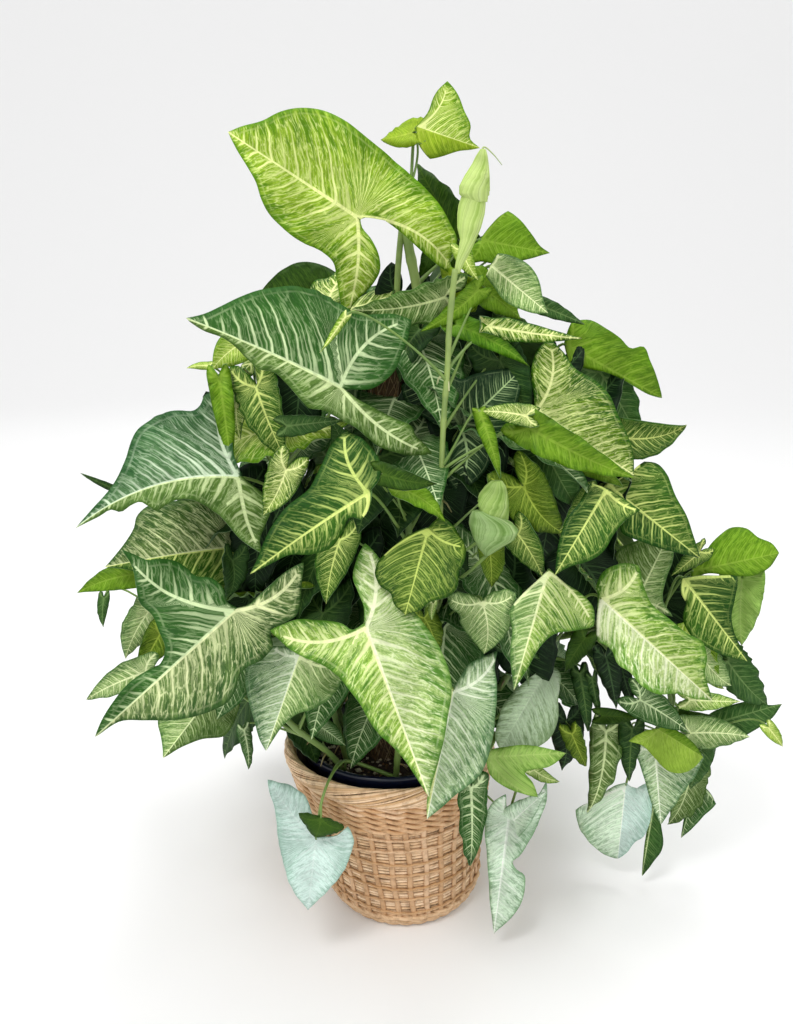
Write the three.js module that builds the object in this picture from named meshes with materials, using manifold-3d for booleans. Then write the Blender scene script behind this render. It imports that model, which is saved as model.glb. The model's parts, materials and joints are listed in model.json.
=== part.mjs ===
// Arrowhead plant (Syngonium) climbing a coir pole, in a nursery pot that leans inside a wicker basket.
// Millimetres, +Z up. The origin is the centre of the basket's underside and the front looks along -Y.

import * as THREE from 'three';
import { mergeVertices } from 'three/addons/utils/BufferGeometryUtils.js';
import Module from 'manifold-3d';

const wasm = await Module();
wasm.setup();

// Driving dimensions.
const GAP = 0.3;
const BASKET = { height: 158, footRadius: 64, rimRadius: 98, wall: 4.5, floor: 5 };
const POT = { height: 160, footRadius: 56, topRadius: 76, wall: 2.2, lip: 5 };
const LEAN = { sideways: -15, tilt: 0.12 };
const SOIL = { edge: 138, crown: 144 };
const POLE = { x: -17, y: 0, radius: 21, foot: 34, top: 545, sides: 18 };
const STEM_SIDES = 6;
const SMALLEST_REACH = 0.08;
const LOWEST = 2;
const BLADE_THICKNESS = 0.9;
const PETIOLE = { radius: 1.5, sides: 5, steps: 5 };
const NEW_LEAF = { width: 9.5, depth: 6.5, sides: 8 };

// The front leaves are set out on a front elevation drawn in perspective, as seen from EYE: a point is
// [across, down, y], where across and down are counted on the drawing and y is the real depth.
const EYE = new THREE.Vector3(-7.5, -679, 625);
const DRAWING = { middle: 396.5, horizon: 512, reach: 850, pitch: THREE.MathUtils.degToRad(19.8) };

const GREEN = {
  lime: 0x9dbb3c, fresh: 0x6f9f3a, dark: 0x2f5a35, pale: 0xa9c47d, mint: 0xc3d8c4, olive: 0x7c8f3a,
};

// Each stem is a curve through real points, from its foot in the soil to its growing end.
const STEMS = {
  stem_main: { radius: 4.5, path: [[13, -8, 112], [12, -9, 250], [12, -9, 400], [13, -9, 520], [9, -8, 560],
    [1, -6, 600], [-4, -6, 640]] },
  stem_shoot: { radius: 2.5, path: [[26, -32, 112], [28, -48, 200], [25, -62, 320], [26, -68, 420],
    [27, -70, 477], [29, -70, 514], [30, -70, 549], [33, -70, 584]] },
  stem_left: { radius: 3.4, path: [[-48, -16, 112], [-62, -22, 190], [-84, -28, 280], [-98, -30, 360],
    [-100, -28, 430]] },
  stem_left_low: { radius: 3, path: [[-42, -32, 112], [-62, -54, 172], [-92, -72, 215], [-126, -78, 262]] },
  stem_front: { radius: 3.2, path: [[-10, -48, 112], [-6, -60, 190], [-2, -66, 270], [2, -66, 345],
    [2, -64, 400]] },
  stem_right: { radius: 3.4, path: [[36, -18, 112], [56, -22, 175], [88, -22, 230], [116, -16, 290],
    [130, -10, 360], [134, -6, 420]] },
  stem_trail: { radius: 2.8, path: [[40, 10, 112], [58, 12, 168], [96, 14, 215], [150, 12, 258],
    [205, 8, 256], [240, 4, 215], [252, 2, 160]] },
  stem_front_right: { radius: 2.8, path: [[30, -38, 112], [40, -44, 176], [62, -62, 206], [92, -76, 202]] },
  stem_back: { radius: 3.4, path: [[-6, 38, 112], [-2, 66, 200], [4, 88, 300], [8, 96, 390],
    [8, 92, 460]] },
  stem_back_left: { radius: 3, path: [[-46, 26, 112], [-78, 56, 190], [-108, 84, 270], [-122, 94, 350]] },
  stem_back_right: { radius: 3, path: [[20, 36, 112], [34, 52, 168], [60, 80, 215], [92, 106, 280],
    [106, 114, 350]] },
};

// A front leaf: where its stalk leaves its stem, its hub and tip, and its two lobe ends as [across, down,
// width of that half]. turn is about the midrib, fold lifts both halves, sweep bends the midrib sideways,
// and full is how full a typical outline is.
const FRONT_LEAVES = [
  { name: 'leaf_crown', stem: 'stem_main', at: 0.97, hub: [357, 217, -45], tip: [228, 132, -60],
    lobes: [[450, 296, 0.46], [347, 325, 0.32]], fold: 6, full: 4, green: GREEN.lime },
  { name: 'leaf_upper_left', stem: 'stem_left', at: 0.98, hub: [340, 387, -94], tip: [186, 318, -118],
    lobes: [[417, 318, 0.46], [440, 453, 0.26]], turn: 12, fold: 10, full: 2.4, green: GREEN.dark },
  { name: 'leaf_back_high', stem: 'stem_main', at: 0.72, hub: [335, 300, 42], tip: [262, 290, 50],
    lobes: [[337, 274, 0.34], [350, 322, 0.3]], fold: 8, green: GREEN.dark },
  { name: 'leaf_top', stem: 'stem_main', at: 0.96, hub: [418, 127, -12], tip: [480, 148, -20],
    lobes: [[447, 81, 0.34], [430, 159, 0.32]], fold: 12, green: GREEN.lime },
  { name: 'leaf_high_right', stem: 'stem_main', at: 0.86, hub: [482, 240, 0], tip: [550, 253, -4],
    lobes: [[466, 262, 0.3], [508, 211, 0.4]], fold: 8, green: GREEN.fresh },
  { name: 'leaf_silver', stem: 'stem_main', at: 0.8, hub: [492, 266, -30], tip: [548, 313, -51],
    lobes: [[498, 253, 0.34], [486, 276, 0.34]], fold: 8, green: GREEN.dark },
  { name: 'leaf_bright', stem: 'stem_right', at: 0.93, hub: [567, 345, -10], tip: [662, 398, -22],
    lobes: [[572, 322, 0.28], [570, 363, 0.3]], fold: 12, green: GREEN.fresh },
  { name: 'leaf_speckled', stem: 'stem_right', at: 0.97, hub: [537, 410, -45], tip: [634, 475, -74],
    lobes: [[548, 338, 0.5], [505, 432, 0.3]], fold: 8, full: 2.6, green: GREEN.pale },
  { name: 'leaf_shaded', stem: 'stem_front', at: 0.96, hub: [461, 428, -40], tip: [525, 366, -36],
    lobes: [[400, 385, 0.48], [455, 492, 0.45]], fold: 8, green: GREEN.dark },
  { name: 'leaf_right_edge', stem: 'stem_right', at: 0.8, hub: [608, 485, -30], tip: [700, 558, -53],
    lobes: [[645, 462, 0.3], [596, 512, 0.28]], fold: 10, green: GREEN.lime },
  { name: 'leaf_right_dark', stem: 'stem_right', at: 0.7, hub: [606, 490, -73], tip: [555, 575, -109],
    lobes: [[641, 509, 0.34], [590, 484, 0.34]], fold: 10, green: GREEN.dark },
  { name: 'leaf_right_hanging', stem: 'stem_right', at: 0.52, hub: [548, 572, -90], tip: [514, 690, -136],
    lobes: [[594, 626, 0.32], [509, 612, 0.28]], fold: 10, green: GREEN.pale },
  { name: 'leaf_cream', stem: 'stem_trail', at: 0.42, hub: [602, 599, -78], tip: [712, 700, -114],
    lobes: [[640, 566, 0.32], [598, 641, 0.36]], fold: 6, full: 2.8, green: GREEN.pale },
  { name: 'leaf_upright_right', stem: 'stem_trail', at: 0.5, hub: [636, 602, -30], tip: [673, 526, -28],
    lobes: [[612, 566, 0.38], [672, 618, 0.38]], fold: 10, green: GREEN.dark },
  { name: 'leaf_far_right', stem: 'stem_trail', at: 0.66, hub: [694, 571, -12], tip: [779, 553, -14],
    lobes: [[702, 560, 0.42], [692, 580, 0.24]], fold: 8, full: 3, green: GREEN.olive },
  { name: 'leaf_far_right_lime', stem: 'stem_trail', at: 0.7, hub: [684, 579, -30], tip: [747, 661, -50],
    lobes: [[739, 578, 0.3], [686, 603, 0.3]], fold: 10, green: GREEN.lime },
  { name: 'leaf_low_right_tip', stem: 'stem_trail', at: 0.9, hub: [712, 724, -16], tip: [782, 704, -20],
    lobes: [[707, 740, 0.3], [708, 715, 0.3]], fold: 8, green: GREEN.dark },
  { name: 'leaf_trail_olive', stem: 'stem_trail', at: 0.86, hub: [658, 729, -42], tip: [703, 757, -50],
    lobes: [[630, 742, 0.42], [668, 726, 0.28]], fold: 8, full: 2.6, green: GREEN.olive },
  { name: 'leaf_trail_veined', stem: 'stem_trail', at: 0.92, hub: [655, 748, -24], tip: [661, 824, -34],
    lobes: [[705, 758, 0.36], [631, 745, 0.26]], fold: 10, green: GREEN.mint },
  { name: 'leaf_trail_narrow', stem: 'stem_trail', at: 0.98, hub: [655, 802, -6], tip: [642, 876, -20],
    lobes: [[660, 800, 0.2], [650, 797, 0.18]], fold: 12, green: GREEN.fresh },
  { name: 'leaf_trail_mint', stem: 'stem_trail', at: 0.93, hub: [626, 786, -8], tip: [618, 858, -14],
    lobes: [[576, 808, 0.56], [652, 798, 0.46]], fold: 4, full: 3, green: GREEN.mint },
  { name: 'leaf_trail_edge', stem: 'stem_trail', at: 0.96, hub: [697, 783, 0], tip: [681, 838, -10],
    lobes: [[716, 804, 0.3], [688, 790, 0.2]], fold: 10, green: GREEN.fresh },
  { name: 'leaf_front_dark', stem: 'stem_front', at: 0.42, hub: [453, 692, -118], tip: [427, 819, -168],
    lobes: [[498, 650, 0.36], [430, 668, 0.3]], fold: 8, full: 2.4, green: GREEN.dark },
  { name: 'leaf_plain_mint', stem: 'stem_front_right', at: 0.7, hub: [548, 668, -52], tip: [500, 750, -84],
    lobes: [[558, 700, 0.36], [528, 679, 0.36]], fold: 6, full: 3, green: GREEN.mint },
  { name: 'leaf_front_olive', stem: 'stem_front_right', at: 0.85, hub: [488, 757, -109],
    tip: [566, 753, -113], lobes: [[538, 797, 0.14], [492, 749, 0.16]], fold: 6, green: GREEN.olive },
  { name: 'leaf_hanging', stem: 'stem_front_right', at: 0.95, hub: [509, 817, -78], tip: [494, 934, -98],
    lobes: [[546, 787, 0.2], [506, 793, 0.2]], fold: 8, full: 3.4, green: GREEN.mint },
  { name: 'leaf_front', stem: 'stem_front', at: 0.55, hub: [366, 628, -144], tip: [429, 797, -199],
    lobes: [[268, 630, 0.36], [365, 542, 0.34]], fold: 5, full: 2.4, green: GREEN.pale },
  { name: 'leaf_left_front', stem: 'stem_left_low', at: 0.9, hub: [234, 611, -125], tip: [95, 737, -192],
    lobes: [[122, 549, 0.24], [304, 562, 0.36]], fold: 6, green: GREEN.dark },
  { name: 'leaf_left_inner', stem: 'stem_left_low', at: 0.75, hub: [299, 656, -106], tip: [266, 751, -141],
    lobes: [[272, 646, 0.4], [345, 664, 0.42]], fold: 5, green: GREEN.pale },
  { name: 'leaf_over_rim', stem: 'stem_front', at: 0.14, hub: [316, 839, -106], tip: [308, 910, -116],
    via: [[345, 761, -62], [331, 776, -90], [322, 800, -108]],
    lobes: [[266, 787, 0.5], [348, 828, 0.46]], fold: 4, full: 2.4, green: GREEN.mint },
  { name: 'leaf_centre_olive', stem: 'stem_front', at: 0.8, hub: [428, 530, -99], tip: [405, 615, -147],
    lobes: [[378, 561, 0.3], [467, 546, 0.42]], fold: 8, full: 3, green: GREEN.olive },
  { name: 'leaf_centre_veined', stem: 'stem_front', at: 0.92, hub: [368, 493, -118], tip: [250, 574, -163],
    lobes: [[347, 424, 0.4], [361, 520, 0.14]], turn: 10, fold: 12, green: GREEN.dark },
  { name: 'leaf_left', stem: 'stem_left', at: 0.92, hub: [238, 477, -78], tip: [76, 528, -122],
    lobes: [[228, 376, 0.46], [262, 552, 0.2]], turn: 10, fold: 10, sweep: 0.09, green: GREEN.dark },
  { name: 'leaf_left_lower', stem: 'stem_left', at: 0.6, hub: [235, 547, -40], tip: [105, 567, -85],
    lobes: [[256, 516, 0.4], [232, 588, 0.24]], turn: 10, fold: 10, green: GREEN.dark },
  { name: 'leaf_under_left', stem: 'stem_left_low', at: 0.6, hub: [215, 690, -78], tip: [163, 758, -107],
    lobes: [[240, 705, 0.3], [162, 705, 0.3]], fold: 8, green: GREEN.fresh },
];

// The outlines of the larger front leaves, on the same drawing: for each half, in the order of the leaf's
// lobes, its inner margin from the hub to the lobe's end and its outer margin from there to the tip. A half
// without a row here has a typical outline.
const OUTLINES = {
  leaf_crown: [
    { inner: [[370, 214], [386, 221], [404, 235], [422, 251], [437, 270]],
      outer: [
        [453, 262], [460, 240], [452, 222], [438, 200], [420, 182], [400, 165], [380, 148], [362, 134],
        [342, 119], [320, 110], [300, 108], [280, 112], [262, 121], [240, 127]
      ] },
    { inner: [[362, 224], [372, 240], [380, 258], [381, 272], [376, 284], [362, 299], [352, 312]],
      outer: [
        [341, 302], [338, 283], [333, 262], [322, 252], [300, 241], [283, 228], [268, 212], [261, 198],
        [256, 182], [247, 166], [237, 150]
      ] },
  ],
  leaf_upper_left: [
    { inner: [[356, 391], [370, 389], [385, 381], [398, 366], [408, 342]],
      outer: [
        [400, 312], [380, 313], [360, 313], [345, 307], [333, 299], [318, 291], [300, 287], [280, 287],
        [258, 291], [238, 298], [220, 307], [204, 314]
      ] },
    { inner: [[362, 391], [380, 390], [396, 394], [409, 403], [417, 418], [421, 434], [431, 442]],
      outer: [
        [420, 455], [400, 452], [385, 447], [370, 437], [355, 427], [340, 419], [325, 411], [308, 408],
        [297, 399], [284, 384], [270, 373], [257, 371], [247, 362], [236, 350], [222, 339], [206, 326]
      ] },
  ],
  leaf_top: [
    { inner: [[428, 112], [433, 96]],
      outer: [[457, 93], [464, 110], [471, 126], [470, 138]] },
    { inner: [[417, 140]],
      outer: [[444, 156], [460, 151], [470, 150]] },
  ],
  leaf_high_right: [
    null,
    { inner: [[492, 224], [500, 216]],
      outer: [[520, 220], [532, 235], [541, 247]] },
  ],
  leaf_silver: [
    { inner: [],
      outer: [[515, 257], [531, 267], [540, 282], [543, 297]] },
    { inner: [],
      outer: [[494, 287], [506, 302], [522, 310], [536, 314]] },
  ],
  leaf_bright: [
    { inner: [],
      outer: [[590, 320], [607, 329], [620, 338], [630, 348], [642, 346], [650, 362], [657, 380]] },
    { inner: [],
      outer: [[585, 368], [602, 371], [620, 371], [636, 380], [650, 390]] },
  ],
  leaf_speckled: [
    { inner: [[534, 395], [531, 375], [536, 352]],
      outer: [[562, 350], [575, 368], [596, 381], [610, 396], [618, 415], [627, 434], [633, 452]] },
    null,
  ],
  leaf_right_edge: [
    { inner: [[622, 478]],
      outer: [[658, 464], [668, 476], [674, 494], [684, 512], [692, 534]] },
    null,
  ],
  leaf_right_dark: [
    { inner: [[624, 499]],
      outer: [[626, 520], [612, 537], [603, 552], [588, 562], [570, 567]] },
    { inner: [],
      outer: [[578, 505], [565, 522], [559, 540], [556, 560]] },
  ],
  leaf_right_hanging: [
    { inner: [[562, 580], [582, 594], [594, 608]],
      outer: [[574, 631], [552, 636], [538, 650], [528, 668]] },
    { inner: [],
      outer: [[512, 632], [510, 650], [511, 668]] },
  ],
  leaf_cream: [
    { inner: [[597, 588], [604, 572], [622, 564]],
      outer: [
        [643, 582], [650, 602], [668, 618], [685, 632], [702, 642], [705, 655], [703, 672], [708, 688]
      ] },
    { inner: [[597, 615]],
      outer: [[610, 648], [617, 663], [628, 670], [640, 684], [656, 692], [676, 692], [692, 697]] },
  ],
  leaf_upright_right: [
    { inner: [],
      outer: [[617, 551], [632, 542], [650, 535]] },
    { inner: [],
      outer: [[663, 600], [666, 580], [673, 560], [675, 540]] },
  ],
  leaf_far_right: [
    { inner: [],
      outer: [[708, 547], [718, 536], [730, 528], [744, 528], [758, 538], [772, 544]] },
    { inner: [],
      outer: [[705, 574], [730, 576], [752, 576], [768, 568]] },
  ],
  leaf_far_right_lime: [
    { inner: [[700, 576], [722, 576]],
      outer: [[736, 594], [731, 610], [732, 628], [740, 646]] },
    { inner: [[680, 590]],
      outer: [[683, 618], [690, 634], [706, 646], [728, 656]] },
  ],
  leaf_trail_veined: [
    { inner: [],
      outer: [[698, 773], [686, 786], [676, 800], [667, 813]] },
    { inner: [],
      outer: [[640, 765], [646, 783], [652, 803]] },
  ],
  leaf_trail_mint: [
    { inner: [[617, 785], [600, 796]],
      outer: [[579, 824], [590, 841], [604, 853]] },
    { inner: [[636, 789], [646, 785]],
      outer: [[651, 815], [645, 831], [633, 841], [627, 850]] },
  ],
  leaf_front_dark: [
    { inner: [[458, 678], [468, 665], [482, 657]],
      outer: [
        [495, 665], [497, 682], [497, 700], [495, 717], [494, 730], [491, 745], [487, 760], [481, 773],
        [467, 786], [455, 795], [443, 806]
      ] },
    { inner: [[446, 680]],
      outer: [[438, 700], [442, 725], [441, 745], [438, 765], [440, 785], [436, 802]] },
  ],
  leaf_hanging: [
    { inner: [[520, 815], [530, 803], [540, 795]],
      outer: [
        [547, 800], [540, 822], [530, 840], [520, 852], [513, 858], [516, 866], [524, 874], [525, 886],
        [522, 900], [516, 912], [505, 923]
      ] },
    { inner: [[510, 806]],
      outer: [[496, 800], [487, 812], [485, 830], [487, 850], [489, 872], [490, 895], [492, 915]] },
  ],
  leaf_front: [
    { inner: [[352, 630], [343, 624], [330, 621], [315, 620], [298, 619], [284, 623]],
      outer: [
        [278, 640], [290, 650], [305, 658], [322, 665], [337, 675], [350, 690], [360, 703], [368, 718],
        [378, 732], [392, 745], [405, 760], [417, 775]
      ] },
    { inner: [[357, 610], [352, 595], [351, 578], [356, 560]],
      outer: [
        [376, 553], [388, 572], [402, 595], [418, 616], [432, 635], [443, 655], [450, 675], [451, 695],
        [447, 718], [443, 742], [437, 765], [432, 782]
      ] },
  ],
  leaf_left_front: [
    { inner: [
        [228, 602], [224, 588], [213, 577], [196, 574], [188, 566], [178, 559], [164, 557],
        [148, 559], [134, 553]
      ],
      outer: [
        [132, 565], [136, 585], [140, 603], [152, 615], [159, 632], [165, 650], [160, 664], [145, 672],
        [128, 684], [114, 701], [103, 718]
      ] },
    { inner: [[234, 590], [240, 577], [250, 575], [263, 579], [277, 576], [291, 568]],
      outer: [
        [303, 580], [302, 600], [298, 614], [286, 622], [272, 630], [274, 646], [262, 660], [248, 667],
        [239, 676], [235, 690], [227, 702], [213, 710], [195, 716], [170, 720], [145, 720], [120, 720]
      ] },
  ],
  leaf_left_inner: [
    { inner: [[288, 648]],
      outer: [[258, 656], [247, 667], [246, 685], [250, 705], [255, 722], [260, 740]] },
    { inner: [[318, 642]],
      outer: [[340, 685], [328, 700], [312, 709], [298, 713], [284, 724], [274, 738]] },
  ],
  leaf_over_rim: [
    { inner: [[312, 815], [302, 797], [284, 789]],
      outer: [[275, 815], [278, 840], [284, 862], [290, 882], [299, 898]] },
    { inner: [[334, 836]],
      outer: [[354, 842], [350, 856], [345, 868], [334, 882], [320, 897]] },
  ],
  leaf_centre_olive: [
    { inner: [[410, 534], [392, 548]],
      outer: [[375, 572], [380, 586], [390, 594], [394, 605]] },
    { inner: [[440, 518], [456, 528]],
      outer: [[464, 562], [458, 574], [457, 588], [448, 598], [430, 603], [418, 612]] },
  ],
  leaf_centre_veined: [
    { inner: [[379, 480], [380, 465], [374, 450], [362, 437]],
      outer: [
        [333, 440], [325, 456], [318, 472], [310, 488], [298, 499], [284, 511], [272, 527], [264, 543],
        [258, 558]
      ] },
    { inner: [[370, 506]],
      outer: [[350, 518], [341, 534], [330, 548], [312, 554], [290, 556], [272, 561]] },
  ],
  leaf_left: [
    { inner: [[234, 455], [233, 430], [232, 400]],
      outer: [
        [216, 385], [205, 394], [200, 405], [194, 410], [180, 411], [163, 415], [149, 422], [138, 432],
        [131, 445], [126, 462], [118, 480], [107, 495], [94, 509]
      ] },
    { inner: [[250, 482], [264, 492], [272, 508], [267, 522], [261, 538]],
      outer: [
        [250, 545], [240, 537], [230, 526], [220, 516], [206, 507], [190, 502], [175, 503], [165, 508],
        [157, 513], [149, 509], [141, 505], [132, 508], [122, 514], [111, 511], [100, 514]
      ] },
  ],
  leaf_left_lower: [
    { inner: [],
      outer: [
        [236, 508], [200, 500], [165, 503], [145, 508], [137, 516], [133, 530], [125, 543], [114, 557]
      ] },
    { inner: [],
      outer: [[218, 590], [196, 590], [170, 584], [146, 576], [124, 570]] },
  ],
  leaf_plain_mint: [
    { inner: [[558, 670]], outer: [[558, 718], [550, 738], [535, 748], [516, 751]] },
    { inner: [], outer: [[515, 691], [504, 704], [498, 722], [495, 738]] },
  ],
  leaf_front_olive: [
    { inner: [[490, 775], [503, 786], [520, 793]],
      outer: [[533, 783], [525, 772], [535, 769], [548, 767], [559, 760]] },
    { inner: [], outer: [[505, 747], [520, 745], [535, 746], [550, 749]] },
  ],
  leaf_trail_olive: [
    { inner: [[645, 731]], outer: [[643, 746], [655, 758], [668, 771], [682, 773], [694, 767]] },
    { inner: [], outer: [[680, 732], [695, 745]] },
  ],
  leaf_trail_edge: [
    { inner: [[706, 788]], outer: [[704, 815], [692, 828]] },
    { inner: [], outer: [[686, 808], [684, 824]] },
  ],
  leaf_trail_narrow: [
    { inner: [], outer: [[661, 820], [663, 845], [652, 862]] },
    { inner: [], outer: [[648, 820], [646, 848]] },
  ],
  leaf_low_right_tip: [
    { inner: [], outer: [[725, 743], [742, 737], [758, 728], [772, 718]] },
    { inner: [], outer: [[735, 704], [755, 701], [768, 705]] },
  ],
  leaf_under_left: [
    { inner: [], outer: [[222, 737], [205, 738], [185, 745]] },
    { inner: [[195, 680]], outer: [[158, 722], [161, 735], [163, 748]] },
  ],
  leaf_back_high: [
    { inner: [], outer: [[322, 265], [300, 262], [284, 269], [270, 281]] },
    null,
  ],
};

// A back leaf: its hub in real millimetres, and which way it points, as a bearing in plan (0 is +X) and
// a dip below level, with the length of its blade.
const BACK_LEAVES = [
  { name: 'leaf_back_top', stem: 'stem_back', at: 0.96, hub: [20, 120, 520],
    bearing: 75, dip: 40, length: 125 },
  { name: 'leaf_back_upper_left', stem: 'stem_back_left', at: 0.96, hub: [-110, 110, 440],
    bearing: 130, dip: 30, length: 120 },
  { name: 'leaf_back_upper_right', stem: 'stem_back_right', at: 0.96, hub: [110, 120, 430],
    bearing: 50, dip: 35, length: 120 },
  { name: 'leaf_back_left', stem: 'stem_back_left', at: 0.9, hub: [-165, 95, 330],
    bearing: 155, dip: 40, length: 115 },
  { name: 'leaf_back_middle', stem: 'stem_back', at: 0.7, hub: [-20, 165, 360],
    bearing: 95, dip: 50, length: 130 },
  { name: 'leaf_back_right', stem: 'stem_back_right', at: 0.85, hub: [150, 130, 310],
    bearing: 35, dip: 45, length: 120 },
  { name: 'leaf_back_low_left', stem: 'stem_back_left', at: 0.6, hub: [-110, 150, 240],
    bearing: 120, dip: 55, length: 110 },
  { name: 'leaf_back_low', stem: 'stem_back', at: 0.45, hub: [20, 160, 235],
    bearing: 80, dip: 60, length: 115 },
  { name: 'leaf_back_low_right', stem: 'stem_back_right', at: 0.5, hub: [120, 140, 215],
    bearing: 45, dip: 55, length: 100 },
];

// A typical half blade, in blade lengths: how far its lobe reaches, and its width beside the hub.
const TYPICAL = {
  lobe: [0.3, -0.46], width: 0.4, full: 2.1, fold: 8, bow: 0.07, camber: 0.05, lobeSag: 0.2,
  taper: 1.15, sinus: 0.03,
};

// Parts of a blade's length where its midrib has a point.
const MIDRIB = [0, 0.12, 0.26, 0.42, 0.6, 0.77, 0.92];

// Steps tried, in order, until a leaf clears everything placed before it: how far it moves along its line
// of sight or outward, and which way its stalk bows.
const SHIFTS = [0, -7, 7, -14, 14, -22, 22, -32, 32, -44, 44, -58, 58];
const BOWS = [0, 14, -14, 28, -28];

// ---- solids ----

function welded(geometry) {
  const bare = geometry.index ? geometry.toNonIndexed() : geometry.clone();
  bare.deleteAttribute('normal');
  bare.deleteAttribute('uv');
  const merged = mergeVertices(bare, 1e-3);
  const corners = merged.index.array;
  const kept = [];
  for (let i = 0; i < corners.length; i += 3) {
    const [a, b, c] = [corners[i], corners[i + 1], corners[i + 2]];
    if (a !== b && b !== c && c !== a) {
      kept.push(a, b, c);
    }
  }
  merged.setIndex(kept);
  return merged;
}

function solidOf(geometry) {
  const bare = welded(geometry);
  const mesh = new wasm.Mesh({
    numProp: 3,
    vertProperties: new Float32Array(bare.attributes.position.array),
    triVerts: new Uint32Array(bare.index.array),
  });
  return new wasm.Manifold(mesh);
}

function geometryOf(solid) {
  const mesh = solid.getMesh();
  const geometry = new THREE.BufferGeometry();
  geometry.setAttribute('position', new THREE.Float32BufferAttribute(mesh.vertProperties, mesh.numProp));
  geometry.setIndex(Array.from(mesh.triVerts));
  return geometry;
}

function meshOf(name, solid, color, roughness) {
  const material = new THREE.MeshStandardMaterial({ color, roughness, metalness: 0 });
  const geometry = geometryOf(solid);
  geometry.computeVertexNormals();
  const mesh = new THREE.Mesh(geometry, material);
  mesh.name = name;
  return mesh;
}

function lathe(profile, segments) {
  const points = profile.map(([r, z]) => new THREE.Vector2(r, z));
  return new THREE.LatheGeometry(points, segments).rotateX(Math.PI / 2);
}

// A round tube along a curve, closed at both ends.
function tube(curve, radius, sides, steps) {
  const section = new THREE.Shape();
  for (let i = 0; i < sides; i += 1) {
    const angle = (2 * Math.PI * i) / sides;
    const corner = [radius * Math.cos(angle), radius * Math.sin(angle)];
    if (i === 0) {
      section.moveTo(...corner);
    } else {
      section.lineTo(...corner);
    }
  }
  return new THREE.ExtrudeGeometry(section, { steps, extrudePath: curve, bevelEnabled: false });
}

// ---- basket, pot, soil and pole ----

// The basket and all it holds lean: they move sideways with height and their rims tip back.
function leaned(geometry) {
  const spots = geometry.attributes.position;
  for (let i = 0; i < spots.count; i += 1) {
    const rise = spots.getZ(i) / BASKET.height;
    spots.setX(i, spots.getX(i) + LEAN.sideways * rise);
    spots.setZ(i, spots.getZ(i) - LEAN.tilt * spots.getY(i) * rise);
  }
  return geometry;
}

// Outer radius of the basket's wall at a height: a rounded foot, then a slow flare up to the rim.
function basketRadius(z) {
  const foot = BASKET.footRadius + 9 * Math.sqrt(Math.min(z / 12, 1));
  const flare = (BASKET.rimRadius - BASKET.footRadius - 11) * Math.pow(z / BASKET.height, 1.35);
  return foot + flare;
}

function basketGeometry() {
  const { height, wall, floor } = BASKET;
  const heights = [0, 3, 12, 40, 75, 110, 140];
  const outside = heights.map((z) => [basketRadius(z), z]);
  const rim = [[BASKET.rimRadius, height - 8], [BASKET.rimRadius + 1, height - 3],
    [BASKET.rimRadius - 2, height], [BASKET.rimRadius - 5, height - 2]];
  const inside = [140, 110, 75, 40, 14, floor].map((z) => [basketRadius(z) - wall, z]);
  return leaned(lathe([[0, 0], ...outside, ...rim, ...inside, [0, floor]], 32));
}

// Outer radius of the nursery pot's wall at a height above the basket's floor.
function potRadius(z) {
  return POT.footRadius + (POT.topRadius - POT.footRadius) * (z / POT.height);
}

const POT_FOOT = BASKET.floor + GAP;

function potGeometry() {
  const { height, wall, lip } = POT;
  const outside = [[POT.footRadius, POT_FOOT], [potRadius(height - 12), height - 12],
    [potRadius(height) + lip - 2, height - 11], [potRadius(height) + lip, height - 2]];
  const top = [[potRadius(height) + lip - 2.5, height], [potRadius(height) - 0.5, height - 2]];
  const inside = [[potRadius(height - 14) - wall, height - 14], [POT.footRadius - wall, POT_FOOT + wall]];
  return leaned(lathe([[0, POT_FOOT], ...outside, ...top, ...inside, [0, POT_FOOT + wall]], 36));
}

function soilGeometry() {
  const foot = POT_FOOT + POT.wall + GAP;
  const sideAt = (z) => potRadius(z) - POT.wall - 3 * GAP;
  const profile = [[0, foot], [sideAt(foot) - 1, foot], [sideAt(SOIL.edge), SOIL.edge],
    [50, (SOIL.edge + SOIL.crown) / 2], [22, SOIL.crown], [0, SOIL.crown]];
  return leaned(lathe(profile, 28));
}

function poleGeometry(extra) {
  const length = POLE.top - POLE.foot + 2 * extra;
  const radius = POLE.radius + extra;
  const pole = new THREE.CylinderGeometry(radius, radius, length, POLE.sides);
  return pole.rotateX(Math.PI / 2).translate(POLE.x, POLE.y, (POLE.top + POLE.foot) / 2);
}

// ---- stems ----

function stemCurve(name) {
  return new THREE.CatmullRomCurve3(STEMS[name].path.map((p) => new THREE.Vector3(...p)));
}

function stemGeometry(name, extra) {
  const steps = 2 * (STEMS[name].path.length - 1);
  return tube(stemCurve(name), STEMS[name].radius + extra, STEM_SIDES, steps);
}

// ---- leaves ----

function sightLine(across, down) {
  const { middle, horizon, reach, pitch } = DRAWING;
  const right = (across - middle) / reach;
  const up = (horizon - down) / reach;
  const forward = Math.cos(pitch) + up * Math.sin(pitch);
  const rise = -Math.sin(pitch) + up * Math.cos(pitch);
  return new THREE.Vector3(right, forward, rise);
}

function spot([across, down, y]) {
  const line = sightLine(across, down);
  return EYE.clone().addScaledVector(line, (y - EYE.y) / line.y);
}

// Turns the plane of a blade about its midrib.
function turned(along, up, degrees) {
  return up.clone().applyAxisAngle(along, THREE.MathUtils.degToRad(degrees));
}

// Finds a point of the drawing in a half's own plane: [out from the midrib, along the midrib].
function inPlane(leaf, side, [across, down], least) {
  const line = sightLine(across, down);
  const flat = halfNormal(leaf, side);
  const travel = leaf.hub.clone().sub(EYE).dot(flat) / line.dot(flat);
  const arm = EYE.clone().addScaledVector(line, travel).sub(leaf.hub);
  const along = arm.dot(leaf.along);
  const out = arm.dot(halfOut(leaf, side)) - side * sweepAt(leaf, along);
  return [Math.max(out, least * leaf.length), along];
}

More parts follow.
